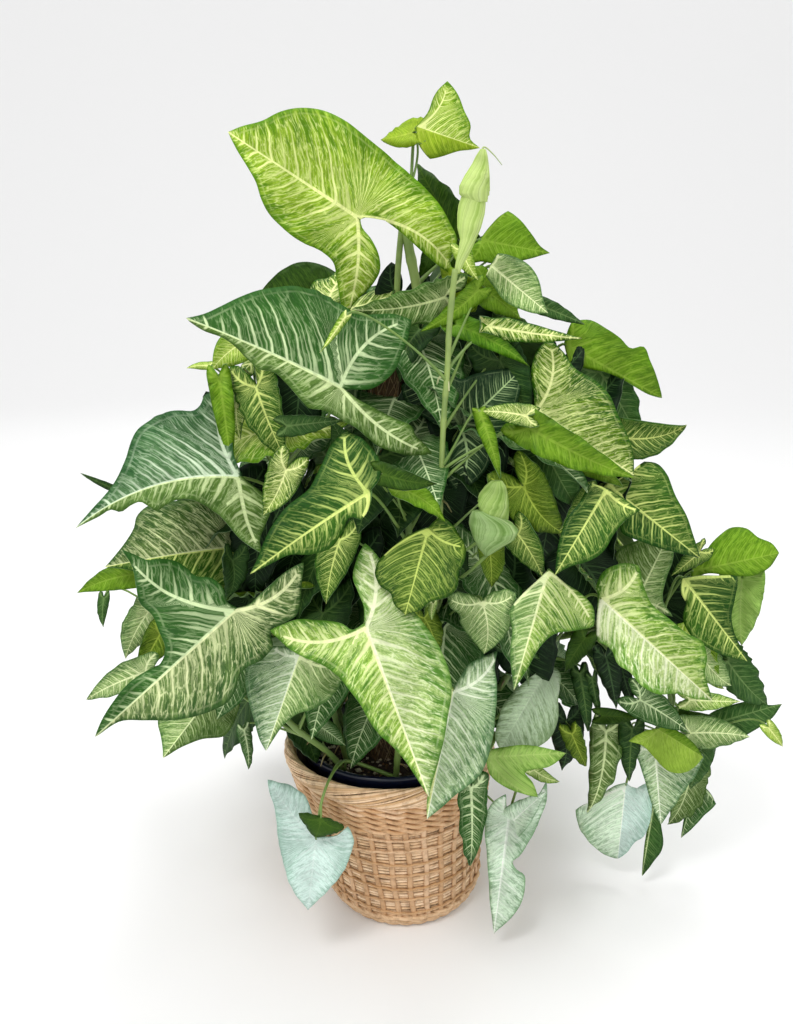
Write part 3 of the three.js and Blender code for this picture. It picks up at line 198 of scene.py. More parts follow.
# For each half, in the order of its leaf's lobes: its inner margin from the hub to the lobe's end,
# and its outer margin from there to the tip, as across, down, across, down...
OUTLINES = {
    "leaf_crown": (
     ((370, 214, 386, 221, 404, 235, 422, 251, 437, 270),
      (453, 262, 460, 240, 452, 222, 438, 200, 420, 182, 400, 165, 380, 148, 362, 134, 342, 119,
       320, 110, 300, 108, 280, 112, 262, 121, 240, 127)),
     ((362, 224, 372, 240, 380, 258, 381, 272, 376, 284, 362, 299, 352, 312),
      (341, 302, 338, 283, 333, 262, 322, 252, 300, 241, 283, 228, 268, 212, 261, 198, 256, 182,
       247, 166, 237, 150))),
    "leaf_upper_left": (
     ((356, 391, 370, 389, 385, 381, 398, 366, 408, 342),
      (400, 312, 380, 313, 360, 313, 345, 307, 333, 299, 318, 291, 300, 287, 280, 287, 258, 291,
       238, 298, 220, 307, 204, 314)),
     ((362, 391, 380, 390, 396, 394, 409, 403, 417, 418, 421, 434, 431, 442),
      (420, 455, 400, 452, 385, 447, 370, 437, 355, 427, 340, 419, 325, 411, 308, 408, 297, 399,
       284, 384, 270, 373, 257, 371, 247, 362, 236, 350, 222, 339, 206, 326))),
    "leaf_top": (
     ((428, 112, 433, 96),
      (457, 93, 464, 110, 471, 126, 470, 138)),
     ((417, 140),
      (444, 156, 460, 151, 470, 150))),
    "leaf_high_right": (
     None,
     ((492, 224, 500, 216),
      (520, 220, 532, 235, 541, 247))),
    "leaf_silver": (
     ((),
      (515, 257, 531, 267, 540, 282, 543, 297)),
     ((),
      (494, 287, 506, 302, 522, 310, 536, 314))),
    "leaf_bright": (
     ((),
      (590, 320, 607, 329, 620, 338, 630, 348, 642, 346, 650, 362, 657, 380)),
     ((),
      (585, 368, 602, 371, 620, 371, 636, 380, 650, 390))),
    "leaf_speckled": (
     ((534, 395, 531, 375, 536, 352),
      (562, 350, 575, 368, 596, 381, 610, 396, 618, 415, 627, 434, 633, 452)),
     None),
    "leaf_right_edge": (
     ((622, 478),
      (658, 464, 668, 476, 674, 494, 684, 512, 692, 534)),
     None),
    "leaf_right_dark": (
     ((624, 499),
      (626, 520, 612, 537, 603, 552, 588, 562, 570, 567)),
     ((),
      (578, 505, 565, 522, 559, 540, 556, 560))),
    "leaf_right_hanging": (
     ((562, 580, 582, 594, 594, 608),
      (574, 631, 552, 636, 538, 650, 528, 668)),
     ((),
      (512, 632, 510, 650, 511, 668))),
    "leaf_cream": (
     ((597, 588, 604, 572, 622, 564),
      (643, 582, 650, 602, 668, 618, 685, 632, 702, 642, 705, 655, 703, 672, 708, 688)),
     ((597, 615),
      (610, 648, 617, 663, 628, 670, 640, 684, 656, 692, 676, 692, 692, 697))),
    "leaf_upright_right": (
     ((),
      (617, 551, 632, 542, 650, 535)),
     ((),
      (663, 600, 666, 580, 673, 560, 675, 540))),
    "leaf_far_right": (
     ((),
      (708, 547, 718, 536, 730, 528, 744, 528, 758, 538, 772, 544)),
     ((),
      (705, 574, 730, 576, 752, 576, 768, 568))),
    "leaf_far_right_lime": (
     ((700, 576, 722, 576),
      (736, 594, 731, 610, 732, 628, 740, 646)),
     ((680, 590),
      (683, 618, 690, 634, 706, 646, 728, 656))),
    "leaf_trail_veined": (
     ((),
      (698, 773, 686, 786, 676, 800, 667, 813)),
     ((),
      (640, 765, 646, 783, 652, 803))),
    "leaf_trail_mint": (
     ((617, 785, 600, 796),
      (579, 824, 590, 841, 604, 853)),
     ((636, 789, 646, 785),
      (651, 815, 645, 831, 633, 841, 627, 850))),
    "leaf_front_dark": (
     ((458, 678, 468, 665, 482, 657),
      (495, 665, 497, 682, 497, 700, 495, 717, 494, 730, 491, 745, 487, 760, 481, 773, 467, 786,
       455, 795, 443, 806)),
     ((446, 680),
      (438, 700, 442, 725, 441, 745, 438, 765, 440, 785, 436, 802))),
    "leaf_hanging": (
     ((520, 815, 530, 803, 540, 795),
      (547, 800, 540, 822, 530, 840, 520, 852, 513, 858, 516, 866, 524, 874, 525, 886, 522, 900,
       516, 912, 505, 923)),
     ((510, 806),
      (496, 800, 487, 812, 485, 830, 487, 850, 489, 872, 490, 895, 492, 915))),
    "leaf_front": (
     ((352, 630, 343, 624, 330, 621, 315, 620, 298, 619, 284, 623),
      (278, 640, 290, 650, 305, 658, 322, 665, 337, 675, 350, 690, 360, 703, 368, 718, 378, 732,
       392, 745, 405, 760, 417, 775)),
     ((357, 610, 352, 595, 351, 578, 356, 560),
      (376, 553, 388, 572, 402, 595, 418, 616, 432, 635, 443, 655, 450, 675, 451, 695, 447, 718,
       443, 742, 437, 765, 432, 782))),
    "leaf_left_front": (
     ((228, 602, 224, 588, 213, 577, 196, 574, 188, 566, 178, 559, 164, 557, 148, 559, 134, 553),
      (132, 565, 136, 585, 140, 603, 152, 615, 159, 632, 165, 650, 160, 664, 145, 672, 128, 684,
       114, 701, 103, 718)),
     ((234, 590, 240, 577, 250, 575, 263, 579, 277, 576, 291, 568),
      (303, 580, 302, 600, 298, 614, 286, 622, 272, 630, 274, 646, 262, 660, 248, 667, 239, 676,
       235, 690, 227, 702, 213, 710, 195, 716, 170, 720, 145, 720, 120, 720))),
    "leaf_left_inner": (
     ((288, 648),
      (258, 656, 247, 667, 246, 685, 250, 705, 255, 722, 260, 740)),
     ((318, 642),
      (340, 685, 328, 700, 312, 709, 298, 713, 284, 724, 274, 738))),
    "leaf_over_rim": (
     ((312, 815, 302, 797, 284, 789),
      (275, 815, 278, 840, 284, 862, 290, 882, 299, 898)),
     ((334, 836),
      (354, 842, 350, 856, 345, 868, 334, 882, 320, 897))),
    "leaf_centre_olive": (
     ((410, 534, 392, 548),
      (375, 572, 380, 586, 390, 594, 394, 605)),
     ((440, 518, 456, 528),
      (464, 562, 458, 574, 457, 588, 448, 598, 430, 603, 418, 612))),
    "leaf_centre_veined": (
     ((379, 480, 380, 465, 374, 450, 362, 437),
      (333, 440, 325, 456, 318, 472, 310, 488, 298, 499, 284, 511, 272, 527, 264, 543, 258, 558)),
     ((370, 506),
      (350, 518, 341, 534, 330, 548, 312, 554, 290, 556, 272, 561))),
    "leaf_left": (
     ((234, 455, 233, 430, 232, 400),
      (216, 385, 205, 394, 200, 405, 194, 410, 180, 411, 163, 415, 149, 422, 138, 432, 131, 445,
       126, 462, 118, 480, 107, 495, 94, 509)),
     ((250, 482, 264, 492, 272, 508, 267, 522, 261, 538),
      (250, 545, 240, 537, 230, 526, 220, 516, 206, 507, 190, 502, 175, 503, 165, 508, 157, 513,
       149, 509, 141, 505, 132, 508, 122, 514, 111, 511, 100, 514))),
    "leaf_left_lower": (
     ((),
      (236, 508, 200, 500, 165, 503, 145, 508, 137, 516, 133, 530, 125, 543, 114, 557)),
     ((),
      (218, 590, 196, 590, 170, 584, 146, 576, 124, 570))),
    "leaf_plain_mint": (
     ((558, 670),
      (558, 718, 550, 738, 535, 748, 516, 751)),
     ((),
      (515, 691, 504, 704, 498, 722, 495, 738))),
    "leaf_front_olive": (
     ((490, 775, 503, 786, 520, 793),
      (533, 783, 525, 772, 535, 769, 548, 767, 559, 760)),
     ((),
      (505, 747, 520, 745, 535, 746, 550, 749))),
    "leaf_trail_olive": (
     ((645, 731),
      (643, 746, 655, 758, 668, 771, 682, 773, 694, 767)),
     ((),
      (680, 732, 695, 745))),
    "leaf_trail_edge": (
     ((706, 788),
      (704, 815, 692, 828)),
     ((),
      (686, 808, 684, 824))),
    "leaf_trail_narrow": (
     ((),
      (661, 820, 663, 845, 652, 862)),
     ((),
      (648, 820, 646, 848))),
    "leaf_low_right_tip": (
     ((),
      (725, 743, 742, 737, 758, 728, 772, 718)),
     ((),
      (735, 704, 755, 701, 768, 705))),
    "leaf_under_left": (
     ((),
      (222, 737, 205, 738, 185, 745)),
     ((195, 680),
      (158, 722, 161, 735, 163, 748))),
    "leaf_back_high": (
     ((),
      (322, 265, 300, 262, 284, 269, 270, 281)),
     None),
}

# Leaves that the drawing doesn't show: name, look, stem, where along it the stalk leaves, hub in
# real millimetres, bearing in plan, dip below level, length.
BACK_LEAVES = [
    ("leaf_back_top", "moss", "stem_back", .96, (20, 120, 520), 75, 40, 125),
    ("leaf_back_upper_left", "dark", "stem_back_left", .96, (-110, 110, 440), 130, 30, 120),
    ("leaf_back_upper_right", "fresh", "stem_back_right", .96, (110, 120, 430), 50, 35, 120),
    ("leaf_back_left", "dark", "stem_back_left", .9, (-165, 95, 330), 155, 40, 115),
    ("leaf_back_middle", "pale", "stem_back", .7, (-20, 165, 360), 95, 50, 130),
    ("leaf_back_right", "dark", "stem_back_right", .85, (150, 130, 310), 35, 45, 120),
    ("leaf_back_low_left", "deep", "stem_back_left", .6, (-110, 150, 240), 120, 55, 110),
    ("leaf_back_low", "dark", "stem_back", .45, (20, 160, 235), 80, 60, 115),
    ("leaf_back_low_right", "speckled", "stem_back_right", .5, (120, 140, 215), 45, 55, 100),
]

# How far some stalks bow sideways, and the way over the basket's rim that two of them take.
BOWS = {"leaf_back_high": -14, "leaf_trail_olive": 14, "leaf_trail_narrow": -14,
        "leaf_back_upper_right": 14}
OVER_RIM = ((345, 761, -62), (331, 776, -90), (322, 800, -108))
ROUTES = {"leaf_over_rim": OVER_RIM, "small_leaf_40": OVER_RIM}

# A typical half of a blade: its lobe's end, its width and its lifts in blade lengths, how full its
# outline is, and how far it folds up, in degrees.
TYPICAL = dict(lobe=(.3, -.46), width=.4, full=2.1, fold=8, bow=.07, camber=.05, sag=.2,
               taper=1.15, sinus=.03)

# Looks of a blade: ground colour, glow colour, vein colour, then how strong the veins, the net
# between them, the glow and the flecks are. The glow is partly the blade's own paler variegation
# and partly painted glow of light shining through the blade.
LOOKS = {
    "lime": ((92, 138, 18), (172, 202, 56), (236, 246, 158), (1.0, .6, .55, .3)),
    "spring": ((108, 140, 20), (144, 172, 36), (186, 204, 80), (.5, .25, .6, .1)),
    "leafy": ((80, 120, 18), (118, 156, 36), (166, 196, 78), (.4, .2, .45, .1)),
    "fresh": ((62, 106, 16), (92, 138, 26), (142, 178, 64), (.4, .2, .45, .1)),
    "moss": ((38, 66, 12), (58, 90, 22), (102, 132, 50), (.35, .2, .4, .1)),
    # Painted shade: near-black greens for leaves deep in the crown, darker than their own colour.
    "shade": ((16, 36, 18), (26, 50, 22), (84, 116, 70), (.5, .1, .2, .1)),
    "deep": ((30, 58, 24), (46, 78, 30), (106, 136, 72), (.45, .15, .3, .1)),
    "plain_dark": ((46, 80, 34), (64, 100, 44), (132, 162, 96), (.5, .15, .4, .1)),
    "slate": ((62, 94, 36), (92, 124, 54), (202, 216, 152), (.9, .3, .4, .2)),
    "dark": ((44, 86, 32), (70, 112, 44), (200, 220, 166), (1.0, .25, .2, .2)),
    "dusk": ((66, 96, 38), (104, 132, 60), (202, 218, 158), (.9, .35, .4, .4)),
    "veined": ((46, 86, 22), (88, 128, 36), (208, 222, 126), (1.0, .4, .35, .3)),
    "pale": ((72, 118, 34), (154, 186, 80), (228, 238, 170), (1.0, .6, .7, .5)),
    "speckled": ((44, 90, 16), (146, 182, 46), (238, 246, 166), (1.0, .8, .5, .55)),
    "streaked": ((56, 90, 40), (128, 152, 84), (222, 230, 172), (1.0, .7, .5, .5)),
    "silver": ((78, 116, 56), (150, 180, 102), (224, 236, 176), (1.0, .5, .55, .4)),
    "frosted": ((84, 122, 76), (168, 194, 142), (226, 236, 208), (.95, .55, .75, .4)),
    "frost_lime": ((96, 146, 48), (198, 216, 142), (238, 244, 204), (1.0, .8, .8, .5)),
    "creamy": ((86, 134, 48), (184, 206, 128), (236, 244, 198), (1.0, .6, .7, .45)),
    "blue": ((46, 86, 46), (110, 144, 98), (206, 224, 192), (1.0, .3, .4, .2)),
    "mottled": ((42, 76, 14), (88, 120, 32), (182, 200, 100), (.9, .45, .45, .4)),
    "deep_veined": ((32, 70, 18), (58, 98, 30), (188, 206, 112), (.9, .25, .25, .2)),
    # Painted shade as well, with pale veins, for a leaf that sits in shade behind others.
    "painted_shade_veined": ((24, 52, 26), (38, 70, 36), (160, 186, 128), (1.0, .15, .2, .1)),
    "cream": ((112, 154, 66), (200, 214, 132), (236, 242, 188), (.7, .45, .95, .35)),
    "mint": ((126, 152, 106), (186, 208, 172), (214, 228, 200), (.4, .15, .8, .2)),
    "mint_veined": ((120, 160, 116), (196, 220, 190), (236, 246, 230), (.8, .4, .95, .35)),
    "white": ((166, 202, 184), (204, 228, 218), (226, 242, 234), (.5, .25, .9, .3)),
    "apple": ((110, 150, 60), (152, 184, 94), (188, 210, 126), (.35, .1, .7, .1)),
    "pear": ((130, 164, 52), (148, 178, 66), (182, 204, 102), (.35, .1, .5, .1)),
    "olive": ((62, 92, 18), (98, 128, 32), (172, 192, 78), (.7, .4, .5, .3)),
}


def rgb(colour):
    """A colour from 0 to 255 on a screen, as linear light."""
    return tuple((c / 255) ** 2.2 for c in colour)


def rgba(colour):
    """The same with full cover, for one of COLOURS or for a colour as such."""
    return (*rgb(COLOURS.get(colour, colour)), 1)


# ---- meshes ----


TOP, UNDER, STALK = range(3)  # a leaf's materials


def put_in_scene(name, data):
    """A new object in the scene for a mesh, a light or a camera."""
    thing = bpy.data.objects.new(name, data)
    bpy.context.scene.collection.objects.link(thing)
    return thing


class Build:
    """Gathers vertices, faces and what each face corner carries, and makes one mesh object."""

    CORNER = ("pat", "flat", "ground", "glow", "vein", "amounts")

    def __init__(self, name, materials):
        self.name, self.materials = name, materials
        self.verts, self.faces, self.slots = [], [], []
        self.corner = {key: [] for key in self.CORNER}

    def take(self, verts):
        """Takes in vertices, and says at which number they start."""
        start = sum(len(v) for v in self.verts)
        self.verts.append(np.asarray(verts, dtype=float))
        return start

    def add(self, verts, faces, corner, slot=0):
        """Adds faces; corner holds, for each name in CORNER, four numbers per face corner."""
        start = self.take(verts)
        self.faces += [[start + i for i in face] for face in faces]
        self.slots += [slot] * len(faces)
        for key in self.CORNER:
            self.corner[key].append(corner[key])

    def add_plain(self, made, colour, slot=0):
        """Adds faces of one colour."""
        verts, faces = made
        count = sum(len(face) for face in faces)
        corner = {key: np.zeros((count, 4)) for key in self.CORNER}
        corner["ground"] = np.tile(rgba(colour), (count, 1))
        self.add([tuple(v) for v in verts], faces, corner, slot)

    def finish(self, node, carries=("ground",)):
        """Makes the piece, which stands for a CAD node unless node is None."""
        mesh = bpy.data.meshes.new(self.name)
        mesh.from_pydata((np.concatenate(self.verts) * MM).tolist(), [], self.faces)
        for material in self.materials:
            mesh.materials.append(material)
        mesh.polygons.foreach_set("material_index", self.slots)
        mesh.polygons.foreach_set("use_smooth", [True] * len(self.faces))
        for key in carries:
            layer = mesh.color_attributes.new(key, "FLOAT_COLOR", "CORNER")
            layer.data.foreach_set("color", np.concatenate(self.corner[key]).ravel())
        mesh.update()
        piece = put_in_scene(self.name, mesh)
        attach(piece, "root")
        if node:
            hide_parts(node)


def around(r, angle, z):
    """A point at a radius and an angle round the upright axis."""
    return (r * math.cos(angle), r * math.sin(angle), z)


def turns(sides):
    """The angles of evenly spread sides."""
    return [TURN * i / sides for i in range(sides)]


def ring_faces(rings, sides, outward=True):
    """The faces of a closed body made of rings of points, numbered ring by ring."""
    faces = []
    for k in range(rings - 1):
        for i in range(sides):
            a, b = k * sides + i, k * sides + (i + 1) % sides
            c, d = b + sides, a + sides
            faces.append((a, b, c, d) if outward else (a, d, c, b))
    first, last = tuple(range(sides)), tuple(range((rings - 1) * sides, rings * sides))
    return [*faces, first[::-1], last] if outward else [*faces, first, last[::-1]]


def curve_through(points, per_span):
    """A smooth run of points through the given ones (centripetal Catmull-Rom)."""
    p = [Vector(q) for q in points]
    p = [p[0] * 2 - p[1], *p, p[-1] * 2 - p[-2]]
    run = []
    for i in range(1, len(p) - 2):
        a, b, c, d = p[i - 1:i + 3]
        s0, s1, s2 = (max((v - u).length ** .5, 1e-4) for u, v in ((a, b), (b, c), (c, d)))
        m1 = ((b - a) / s0 - (c - a) / (s0 + s1) + (c - b) / s1) * s1
        m2 = ((c - b) / s1 - (d - b) / (s1 + s2) + (d - c) / s2) * s1
        for k in range(per_span):
            t = k / per_span
            run.append(b + m1 * t + (c * 3 - b * 3 - m1 * 2 - m2) * t ** 2
                       + (b * 2 - c * 2 + m1 + m2) * t ** 3)
    run.append(p[-2])
    return run


def bezier(a, b, c, d, steps=18):
    """A run of points from a to d, drawn towards b and c."""
    return [a * s ** 3 + b * 3 * s * s * t + c * 3 * s * t * t + d * t ** 3
            for s, t in ((1 - k / steps, k / steps) for k in range(steps + 1))]


def along_run(run, part):
    """The point and direction at a part of a run's length."""
    steps = [(v - u).length for u, v in zip(run, run[1:])]
    left = part * sum(steps)
    for (u, v), step in zip(zip(run, run[1:]), steps):
        if left <= step:
            return u.lerp(v, left / step), (v - u).normalized()
        left -= step
    return run[-1], (run[-1] - run[-2]).normalized()


def direction_at(run, k):
    """Which way a run goes at its point k."""
    return (run[min(k + 1, len(run) - 1)] - run[max(k - 1, 0)]).normalized()


def tube(run, radius, sides=8):
    """A closed round tube along a run of points. radius is a number or a function of the part."""
    run = [Vector(p) for p in run]
    verts = []
    aim = (run[1] - run[0]).normalized()
    normal = aim.orthogonal().normalized()
    for k, p in enumerate(run):
        new_aim = direction_at(run, k)
        normal = (aim.rotation_difference(new_aim) @ normal).normalized()
        aim = new_aim
        across = aim.cross(normal)
        size = radius(k / (len(run) - 1)) if callable(radius) else radius
        verts += [p + (normal * math.cos(angle) + across * math.sin(angle)) * size
                  for angle in turns(sides)]
    return verts, ring_faces(len(run), sides)


# ---- leaves ----


SIDES = (-1, 1)
LEAST_REACH = .08  # how far out a lobe ends at least, in blade lengths
USUAL_LENGTH = 110  # of a blade whose veins are as thick as they are drawn
SHEET = .26  # half a blade's thickness
PUCKER = .5  # how far a blade rises between its side veins


def sight_line(across, down):
    """The direction from EYE to a place on the drawing."""
    right, up = (across - MIDDLE) / REACH, (HORIZON - down) / REACH
    return Vector((right, math.cos(PITCH) + up * math.sin(PITCH),
                   -math.sin(PITCH) + up * math.cos(PITCH)))


def spot(place):
    """The point at a place on the drawing, with its real depth y."""
    across, down, y = place
    line = sight_line(across, down)
    return EYE + line * ((y - EYE.y) / line.y)


def half_out(leaf, side):
    """The way out from the midrib in a half's own plane; side is -1 or 1, for left or right."""
    fold = math.radians(leaf["fold"])
    return leaf["right"] * side * math.cos(fold) + leaf["up"] * math.sin(fold)


def half_normal(leaf, side):
    """The way up from a half's own plane."""
    fold = math.radians(leaf["fold"])
    return leaf["up"] * math.cos(fold) - leaf["right"] * side * math.sin(fold)


def sweep_at(leaf, y):
    """How far the midrib has bent sideways at a distance along it."""
    part = np.clip(y / leaf["length"], 0, 1)
    return leaf["length"] * leaf["sweep"] * 4 * part * (1 - part)


def in_plane(leaf, side, across, down, least):
    """A point of the drawing in a half's own plane: out from the midrib, along the midrib."""
    line = sight_line(across, down)
    flat = half_normal(leaf, side)
    arm = EYE + line * ((leaf["hub"] - EYE).dot(flat) / line.dot(flat)) - leaf["hub"]
    y = arm.dot(leaf["along"])
    out = arm.dot(half_out(leaf, side)) - side * float(sweep_at(leaf, y))
    return max(out, least * leaf["length"]), y


def typical_half(length, width, full=TYPICAL["full"]):
    """A half blade of the usual form."""
    lobe = tuple(v * length * width / TYPICAL["width"] for v in TYPICAL["lobe"])
    return dict(lobe=lobe, width=width * length, full=full)


def front_leaf(hub, tip, lobes=None, turn=0, fold=TYPICAL["fold"], full=TYPICAL["full"], sweep=0,
               width=TYPICAL["width"], drawn=(None, None)):
    """A leaf from where its hub and tip show, and its lobe ends and margins if they are given."""
    hub, tip = spot(hub), spot(tip)
    along = tip - hub
    length = along.length
    along.normalize()
    to_eye = (EYE - hub).normalized()
    up = (to_eye - along * to_eye.dot(along)).normalized()
    up = Matrix.Rotation(math.radians(turn), 3, along) @ up
    leaf = dict(hub=hub, along=along, up=up, right=along.cross(up), length=length, fold=fold,
                sweep=sweep, order=(0, 1))
    if lobes is None:
        leaf["halves"] = [typical_half(length, width, full)] * 2
        return leaf
    ends = [sight_line(*lobe[:2]).normalized().dot(leaf["right"]) for lobe in lobes]
    order = leaf["order"] = (1, 0) if ends[0] > ends[1] else (0, 1)
    leaf["halves"] = []
    for side, k in zip(SIDES, order):
        across, down, width = lobes[k]
        least = TYPICAL["sinus"] if drawn[k] else LEAST_REACH
        half = dict(lobe=in_plane(leaf, side, across, down, least), width=width * length, full=full)
        if drawn[k]:
            half["inner"], half["outer"] = (
                [in_plane(leaf, side, u, v, TYPICAL["sinus"]) for u, v in zip(m[::2], m[1::2])]
                for m in drawn[k])
        leaf["halves"].append(half)
    return leaf


def back_leaf(hub, bearing, dip, length, width=TYPICAL["width"], roll=0):
    """A leaf from its hub in real millimetres, a bearing in plan and a dip below level."""
    level = Vector(around(1, math.radians(bearing), 0))
    dip = math.radians(dip)
    along = level * math.cos(dip) - Z * math.sin(dip)
    up = (Z + along * math.sin(dip)).normalized()
    up = Matrix.Rotation(math.radians(roll), 3, along) @ up
    return dict(hub=Vector(hub), along=along, up=up, right=along.cross(up), length=length,
                fold=TYPICAL["fold"], sweep=0, halves=[typical_half(length, width)] * 2,
                order=(0, 1))


# How side veins run: how much they lean towards a rib's end, how much they bend that way, and how
# far apart they leave the rib, in blade lengths.
SLOPE, CURVE, VEIN_SPACING = .6, .9, .1


def typical_margin(length, lobe, width, full):
    """The margin of a typical half before and after its lobe's end."""
    def by_lobe(a, b):
        return (a * lobe[0] - b * lobe[1], a * lobe[1] + b * lobe[0])

    def outline_at(y):
        return (width * (1 - y ** full) ** TYPICAL["taper"], y * length)

    def apart(p):
        return (max(p[0], TYPICAL["sinus"] * length), p[1])

    waist = by_lobe(.6, .5)
    shoulder_y = max(.05, lobe[1] / length + .28, waist[1] / length + .05)
    shoulder = outline_at(shoulder_y)
    neck = ((waist[0] + shoulder[0]) / 2, (waist[1] + shoulder[1]) / 2)
    rest = [outline_at(shoulder_y + (1 - shoulder_y) * part) for part in (.22, .48, .72, .92)]
    return ([apart(by_lobe(.45, -.17)), apart(by_lobe(.85, -.13))],
            [by_lobe(.87, .24), neck, shoulder, *rest])


def even_run(run, step):
    """The same run with its points about a step apart."""
    gone = np.cumsum([0, *np.linalg.norm(np.diff(run, axis=0), axis=1)])
    stops = np.linspace(0, gone[-1], max(2, math.ceil(gone[-1] / step) + 1))
    return np.stack([np.interp(stops, gone, column) for column in run.T], axis=-1)


def smooth_margin(leaf, half, step):
    """Half a margin from the sinus to the tip, round in its bends but not at the lobe's end."""
    length, lobe = leaf["length"], half["lobe"]
    if "outer" in half:
        before, rest = half["inner"], half["outer"]
    else:
        before, rest = typical_margin(length, lobe, half["width"], half["full"])
    points = np.array([(0, -TYPICAL["sinus"] * length), *before, lobe, *rest, (0, length)])
    corner = 1 + len(before)
    span = np.maximum(np.linalg.norm(np.diff(points, axis=0), axis=1), 1e-6)[:, None]
    slope = np.diff(points, axis=0) / span
    middle = (slope[1:] * span[:-1] + slope[:-1] * span[1:]) / (span[1:] + span[:-1])
    tangents = np.vstack([slope[:1], middle, slope[-1:]])
    arriving, leaving = tangents.copy(), tangents
    arriving[corner] = .35 * tangents[corner] + .65 * slope[corner - 1]
    leaving[corner] = .35 * tangents[corner] + .65 * slope[corner]
    t = np.linspace(0, 1, 12, endpoint=False)[None, :, None]
    run = ((2 * t ** 3 - 3 * t ** 2 + 1) * points[:-1, None]
           + (t ** 3 - 2 * t ** 2 + t) * (span * leaving[:-1])[:, None]
           + (3 * t ** 2 - 2 * t ** 3) * points[1:, None]
           + (t ** 3 - t ** 2) * (span * arriving[1:])[:, None])
    inner = even_run(np.vstack([run[:corner].reshape(-1, 2), points[corner]]), step)
    outer = even_run(np.vstack([run[corner:].reshape(-1, 2), points[-1]]), step)
    margin = np.vstack([inner[:-1], outer])
    margin[1:-1, 0] = np.maximum(margin[1:-1, 0], .3)
    return margin, len(inner) - 1


def distance_to(run, at):
    """Distance of each point from a run of points joined by straight lines."""
    start, span = run[:-1], np.diff(run, axis=0)
    size = np.maximum((span ** 2).sum(axis=1), 1e-9)
    part = np.clip(((at[:, None] - start) * span).sum(axis=2) / size, 0, 1)
    return np.linalg.norm(start + span * part[..., None] - at[:, None], axis=2).min(axis=1)


def points_inside(rim, step):
    """A staggered grid of points inside a closed outline."""
    low, high = rim.min(axis=0), rim.max(axis=0)
    rows = np.arange(low[1] + .7 * step, high[1], .87 * step)
    grid = np.array([(x + .5 * step * (k % 2), y) for k, y in enumerate(rows)
                     for x in np.arange(low[0] + .5 * step, high[0], step)]).reshape(-1, 2)
    ahead = np.roll(rim, -1, axis=0)
    x, y = grid[:, None, 0], grid[:, None, 1]
    rise = np.where(ahead[:, 1] == rim[:, 1], 1, ahead[:, 1] - rim[:, 1])
    passed = ((rim[:, 1] > y) != (ahead[:, 1] > y)) & (
        x < (ahead[:, 0] - rim[:, 0]) * (y - rim[:, 1]) / rise + rim[:, 0])
    inside = passed.sum(axis=1) % 2 == 1
    return grid[inside & (distance_to(np.vstack([rim, rim[:1]]), grid) > .5 * step)]


class Lobe:
    """The frame of a lobe: its rib bows so that it keeps to the middle between the margins."""

    def __init__(self, end, margin, corner):
        self.end = np.array(end)
        self.reach = float(np.linalg.norm(end))
        self.ahead = self.end / self.reach
        self.aside = np.array([-self.ahead[1], self.ahead[0]])
        halfway = [self.across_halfway(run) for run in (margin[corner::-1], margin[corner:])]
        self.bow = float(np.clip(sum(halfway) / 2, -.14 * self.reach, .14 * self.reach))

    def across_halfway(self, run):
        """How far to the side a margin lies where it passes half the lobe's reach."""
        along, across = run @ self.ahead, run @ self.aside
        below = np.nonzero(along < self.reach / 2)[0]
        return across[below[0]] if len(below) and below[0] else 0

    def rib(self, step):
        """Points along the rib, which ends short of the lobe's end."""
        part = np.linspace(0, .85, max(3, round(self.reach / step)))[:, None]
        return part * self.end + 4 * self.bow * part * (1 - part) * self.aside

    def place(self, at):
        """How far points lie along the rib, and how far to its outer side."""
        along = at @ self.ahead
        part = np.clip(along / self.reach, 0, 1)
        return along, at @ self.aside - 4 * self.bow * part * (1 - part)


def vein_phase(leaf, lobe, at):
    """Which side vein each point is by: 0 at the hub, up along the midrib, down out on the lobe."""
    length = leaf["length"]
    spacing = VEIN_SPACING * length
    x, y = at.T
    on_midrib = y - SLOPE * x - CURVE * x * x / length
    along, across = lobe.place(at)
    off = np.abs(across)
    on_lobe = along - SLOPE * off - CURVE * off * off / max(lobe.reach, .3 * length)
    between = math.atan2(1, SLOPE) - math.atan2(lobe.ahead[0], lobe.ahead[1])
    fan = max(1, round(abs(math.pi - 2 * math.atan2(1, SLOPE) - between + .3) / .3))
    short, shy = np.maximum(-on_midrib, 0), np.maximum(-on_lobe, 0)
    fanned = -fan * short / np.maximum(short + shy, 1e-6)
    outside = np.where(on_midrib > 0, on_midrib / spacing, np.where(
        on_lobe > 0, -fan - on_lobe / spacing, fanned))
    inside = np.where(on_lobe > 0, -fan - on_lobe / spacing,
                      -fan + 1.5 * shy / np.maximum(shy + off, 1e-6))
    return np.where((across < 0) & (on_midrib < 0), inside, outside)


def half_mesh(leaf, half, step):
    """Half a blade laid flat: its points, its triangles and what its veins need."""
    length = leaf["length"]
    margin, corner = smooth_margin(leaf, half, step)
    midrib = np.array([(0, y) for y in np.linspace(length, 0, round(length / step) + 1)])
    rim = np.vstack([margin, midrib[1:]])
    lobe = Lobe(half["lobe"], margin, corner)
    rib = lobe.rib(step)
    inside = points_inside(rim, step)
    inside = inside[distance_to(rib, inside) > .5 * step]
    coords = [Vector(p) for p in np.vstack([rim, rib[1:], inside]).tolist()]
    hub, first = len(rim) - 1, len(rim)
    ribs = [(hub, first), *((k, k + 1) for k in range(first, first + len(rib) - 2))]
    made = delaunay_2d_cdt(coords, ribs, [list(range(len(rim)))], 1, 1e-4)
    flat = np.array([v[:] for v in made[0]])
    from_rib = np.minimum(distance_to(midrib, flat), distance_to(rib, flat))
    from_edge = distance_to(margin, flat)
    pat = np.stack([vein_phase(leaf, lobe, flat), from_rib / (from_rib + from_edge + 1e-6),
                    from_rib * (USUAL_LENGTH / length) ** .6,
                    np.linalg.norm(flat, axis=1) / length], axis=-1)
    return flat, [list(face) for face in made[2]], pat, 100 * from_edge / length


